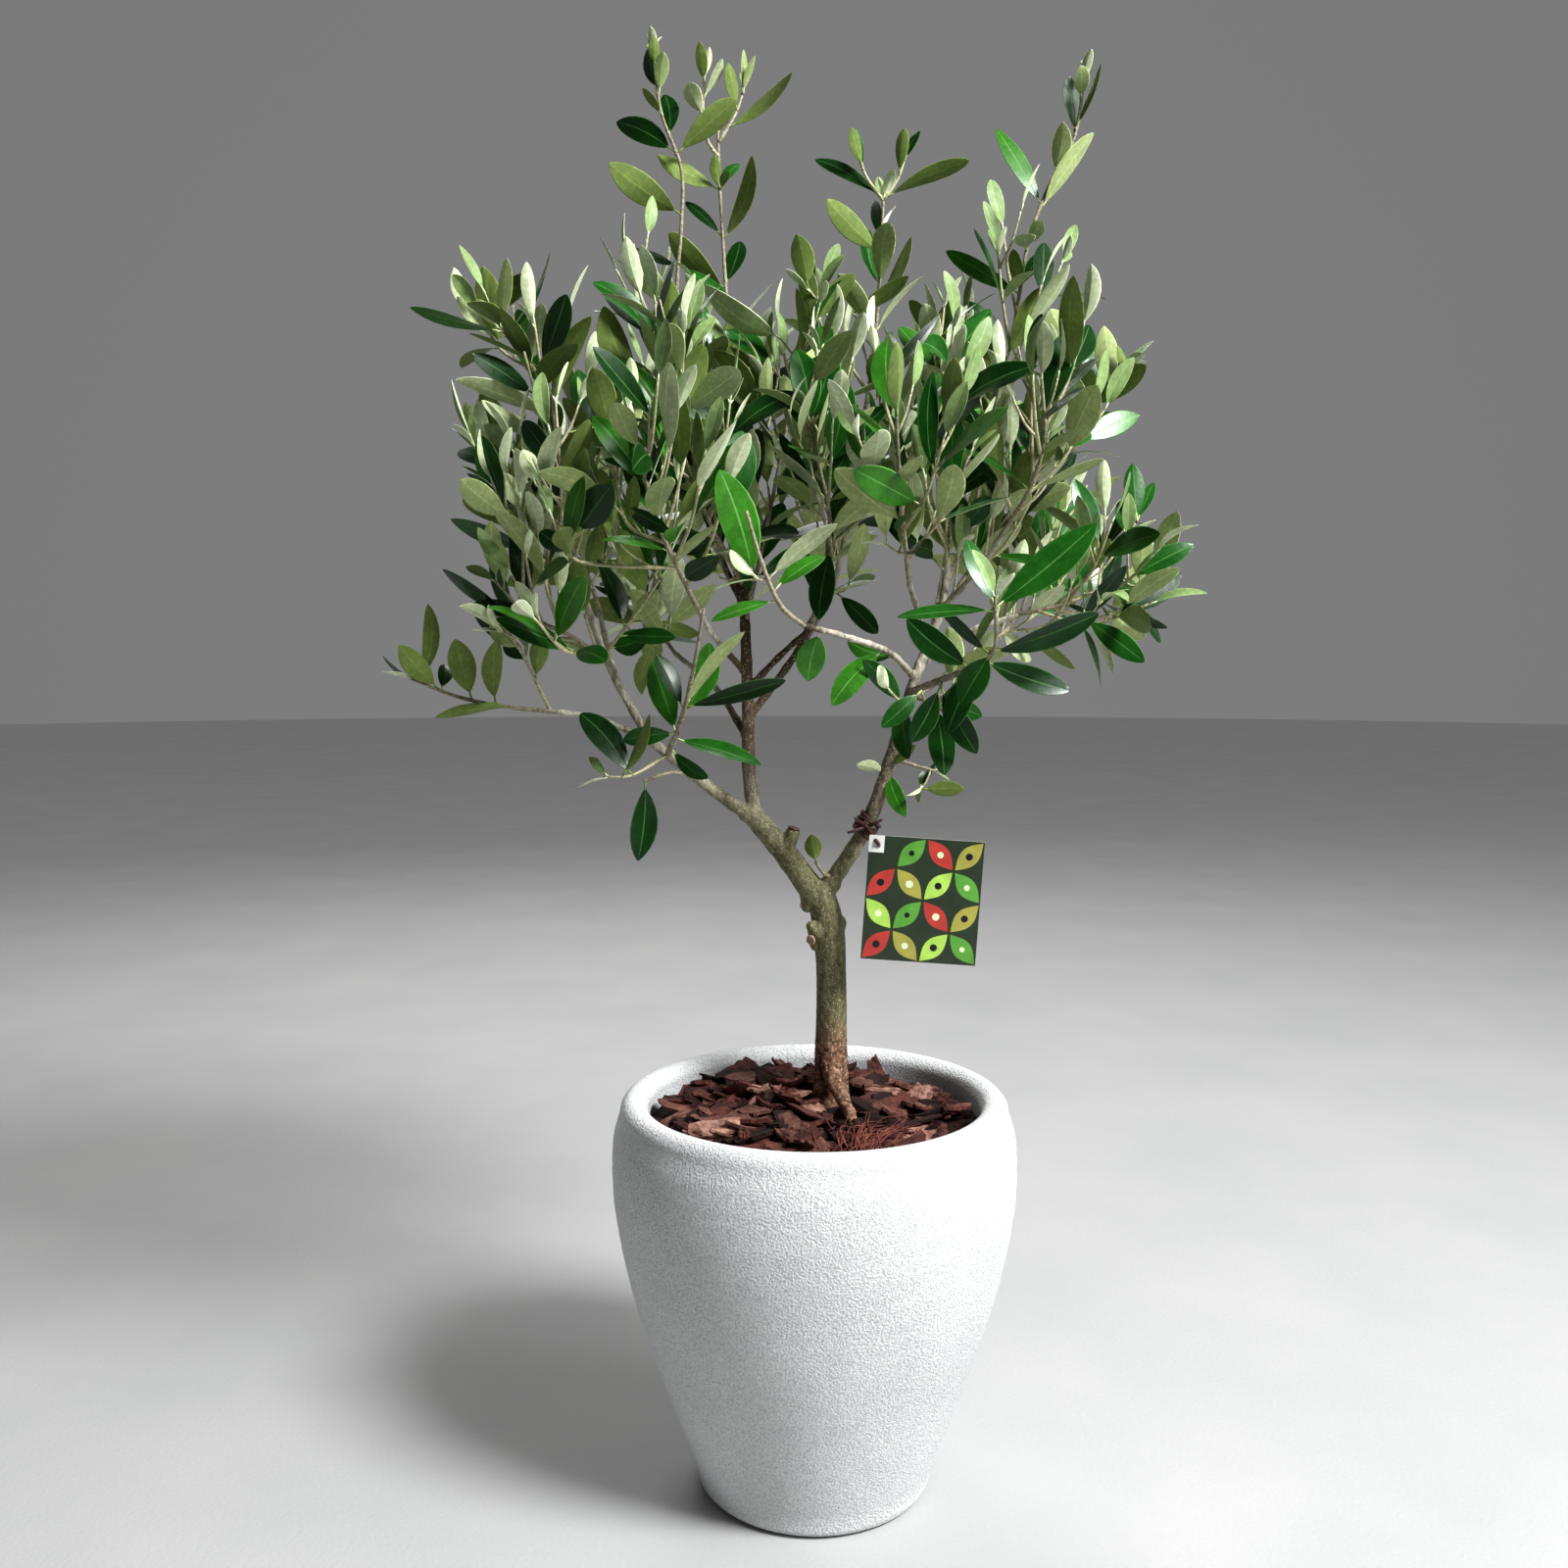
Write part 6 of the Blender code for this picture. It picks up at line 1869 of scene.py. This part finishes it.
def build_tag():
    """Card printed with a generic tiling of petals and dots."""
    shape = Shape()
    add_card(shape)
    width, height = TAG_SIZE
    wide, high = width / PRINT_TILES, height / PRINT_TILES
    patch_x, patch_z = PLAIN_PATCH
    right, bottom = width - PRINT_EDGE, -height + PRINT_EDGE
    add_print(shape, [(patch_x, -PRINT_EDGE), (right, -PRINT_EDGE), (right, bottom), (PRINT_EDGE, bottom),
                      (PRINT_EDGE, -patch_z), (patch_x, -patch_z)], GROUND, 0)
    rng = random.Random(f"{SEED} tag")
    for column in range(PRINT_TILES):
        for row in range(PRINT_TILES):
            if column == 0 and row == 0:
                continue
            x, z = column * wide, -row * high
            odd = (column + row) % 2
            sides = [x + TILE_MARGIN, x + wide - TILE_MARGIN]
            first, last = reversed(sides) if odd else sides
            leaf = petal((first, z - TILE_MARGIN), (last, z - high + TILE_MARGIN))
            add_print(shape, leaf, PETALS[(column + 2 * row) % len(PETALS)], 1)
            dot = arc((x + wide / 2, z - high / 2), rng.uniform(*DOT_RADII), 0,
                      math.tau * (DOT_SIDES - 1) / DOT_SIDES, DOT_SIDES - 1)
            add_print(shape, dot, DOTS[odd], 2)
    tag = shape.piece("plant_tag", [card_look(*look) for look in TAG_LOOKS], smooth=False)
    point_faces_out(tag.data)
    settle(tag, "tag_card", "tag")


TIE_LIMB_SHARE = 0.215
STRANDS = 7
STRAND_GAP = 1.7                 # mm
STRAND_STEPS = 24
STRAND_TURNS = 1.04
TIE_ENDS = ((-12, -6, -3), (9, -5, 5), (-8, -8, 6))      # mm from the front of the wound part


def build_tie():
    """Dark tape wound in strands round the right bough, its end through the tag's hole."""
    path = limb_path("right_bough")
    limb = LIMBS["right_bough"]
    centre, along = point_at(path, TIE_LIMB_SHARE * length_of(path))
    radius = (limb.root + (limb.tip - limb.root) * TIE_LIMB_SHARE) * MM
    rng = random.Random(f"{SEED} tie")
    shape = Shape()
    for strand in range(STRANDS):
        shift = (strand - STRANDS // 2) * STRAND_GAP * MM + rng.uniform(-0.6, 0.6) * MM
        lean = rng.uniform(-0.35, 0.35)
        proud = rng.uniform(1.1, 3.0) * MM
        route = []
        for k in range(STRAND_STEPS + 1):
            turn = math.tau * k / STRAND_STEPS * STRAND_TURNS
            out = radius + proud + 0.5 * MM * math.sin(3 * turn + strand)
            side = square_to(along, turn)
            route.append(centre + side * out + along * (shift + lean * radius * math.cos(turn + strand)))
        add_tube(shape, route, [rng.uniform(0.9, 1.3) * MM] * len(route), 6, flat=0.55)
    start = centre + Vector((0, -radius - 1 * MM, 0))
    for end in map(Vector, TIE_ENDS):
        bend = start + end * 0.5 * MM + Vector((0, -1.5 * MM, 0))
        route = smooth_path([start, bend, start + end * MM], 1.5 * MM)
        add_tube(shape, route, taper(route, 1.4 * MM, 0.8 * MM), 6, flat=0.5)
    hole = tag_place(TAG_HOLE[0], 0, TAG_HOLE[1])
    start = centre + Vector((0, -radius - 2 * MM, 0))
    way = [start, start.lerp(hole, 0.5) + Vector((0, -2.5 * MM, 0)),
           hole + Vector((0.3, -1.8, 1.5)) * MM, hole + Vector((0.8, 2.4, -0.6)) * MM]
    route = smooth_path(way, 2 * MM)
    add_tube(shape, route, taper(route, 1.7 * MM, 1.1 * MM), 8, flat=0.75)
    settle(shape.piece("tape_tie", [tape_look()]), "tie_wrap", "tie")


# ---------------------------------------------------------------- floor and assembly

FLOOR_PROFILE = ((0.0, 0.0), (12.0, 0.0), (12.0, -0.02), (0.0, -0.02))


def build_floor():
    """Wide pale floor under the pot."""
    shape = Shape()
    add_revolved(shape, FLOOR_PROFILE, 96)
    look = Look("pale_floor", 0.9, specular=0.2)
    look.dyed(look.noise(6.0), (0.43, 0.43, 0.43), (0.46, 0.46, 0.455))
    look.bump(look.noise(300.0), 0.0003)
    floor = shape.piece("floor", [look.material], smooth=False)
    point_faces_out(floor.data)


build_studio()
build_floor()
build_pot()
soil = frame["nodes"]["soil"].data
soil.materials.clear()
soil.materials.append(soil_look())
build_mulch()
build_fibres()
build_wood()
build_cuts()
build_crown()
build_tag()
build_tie()
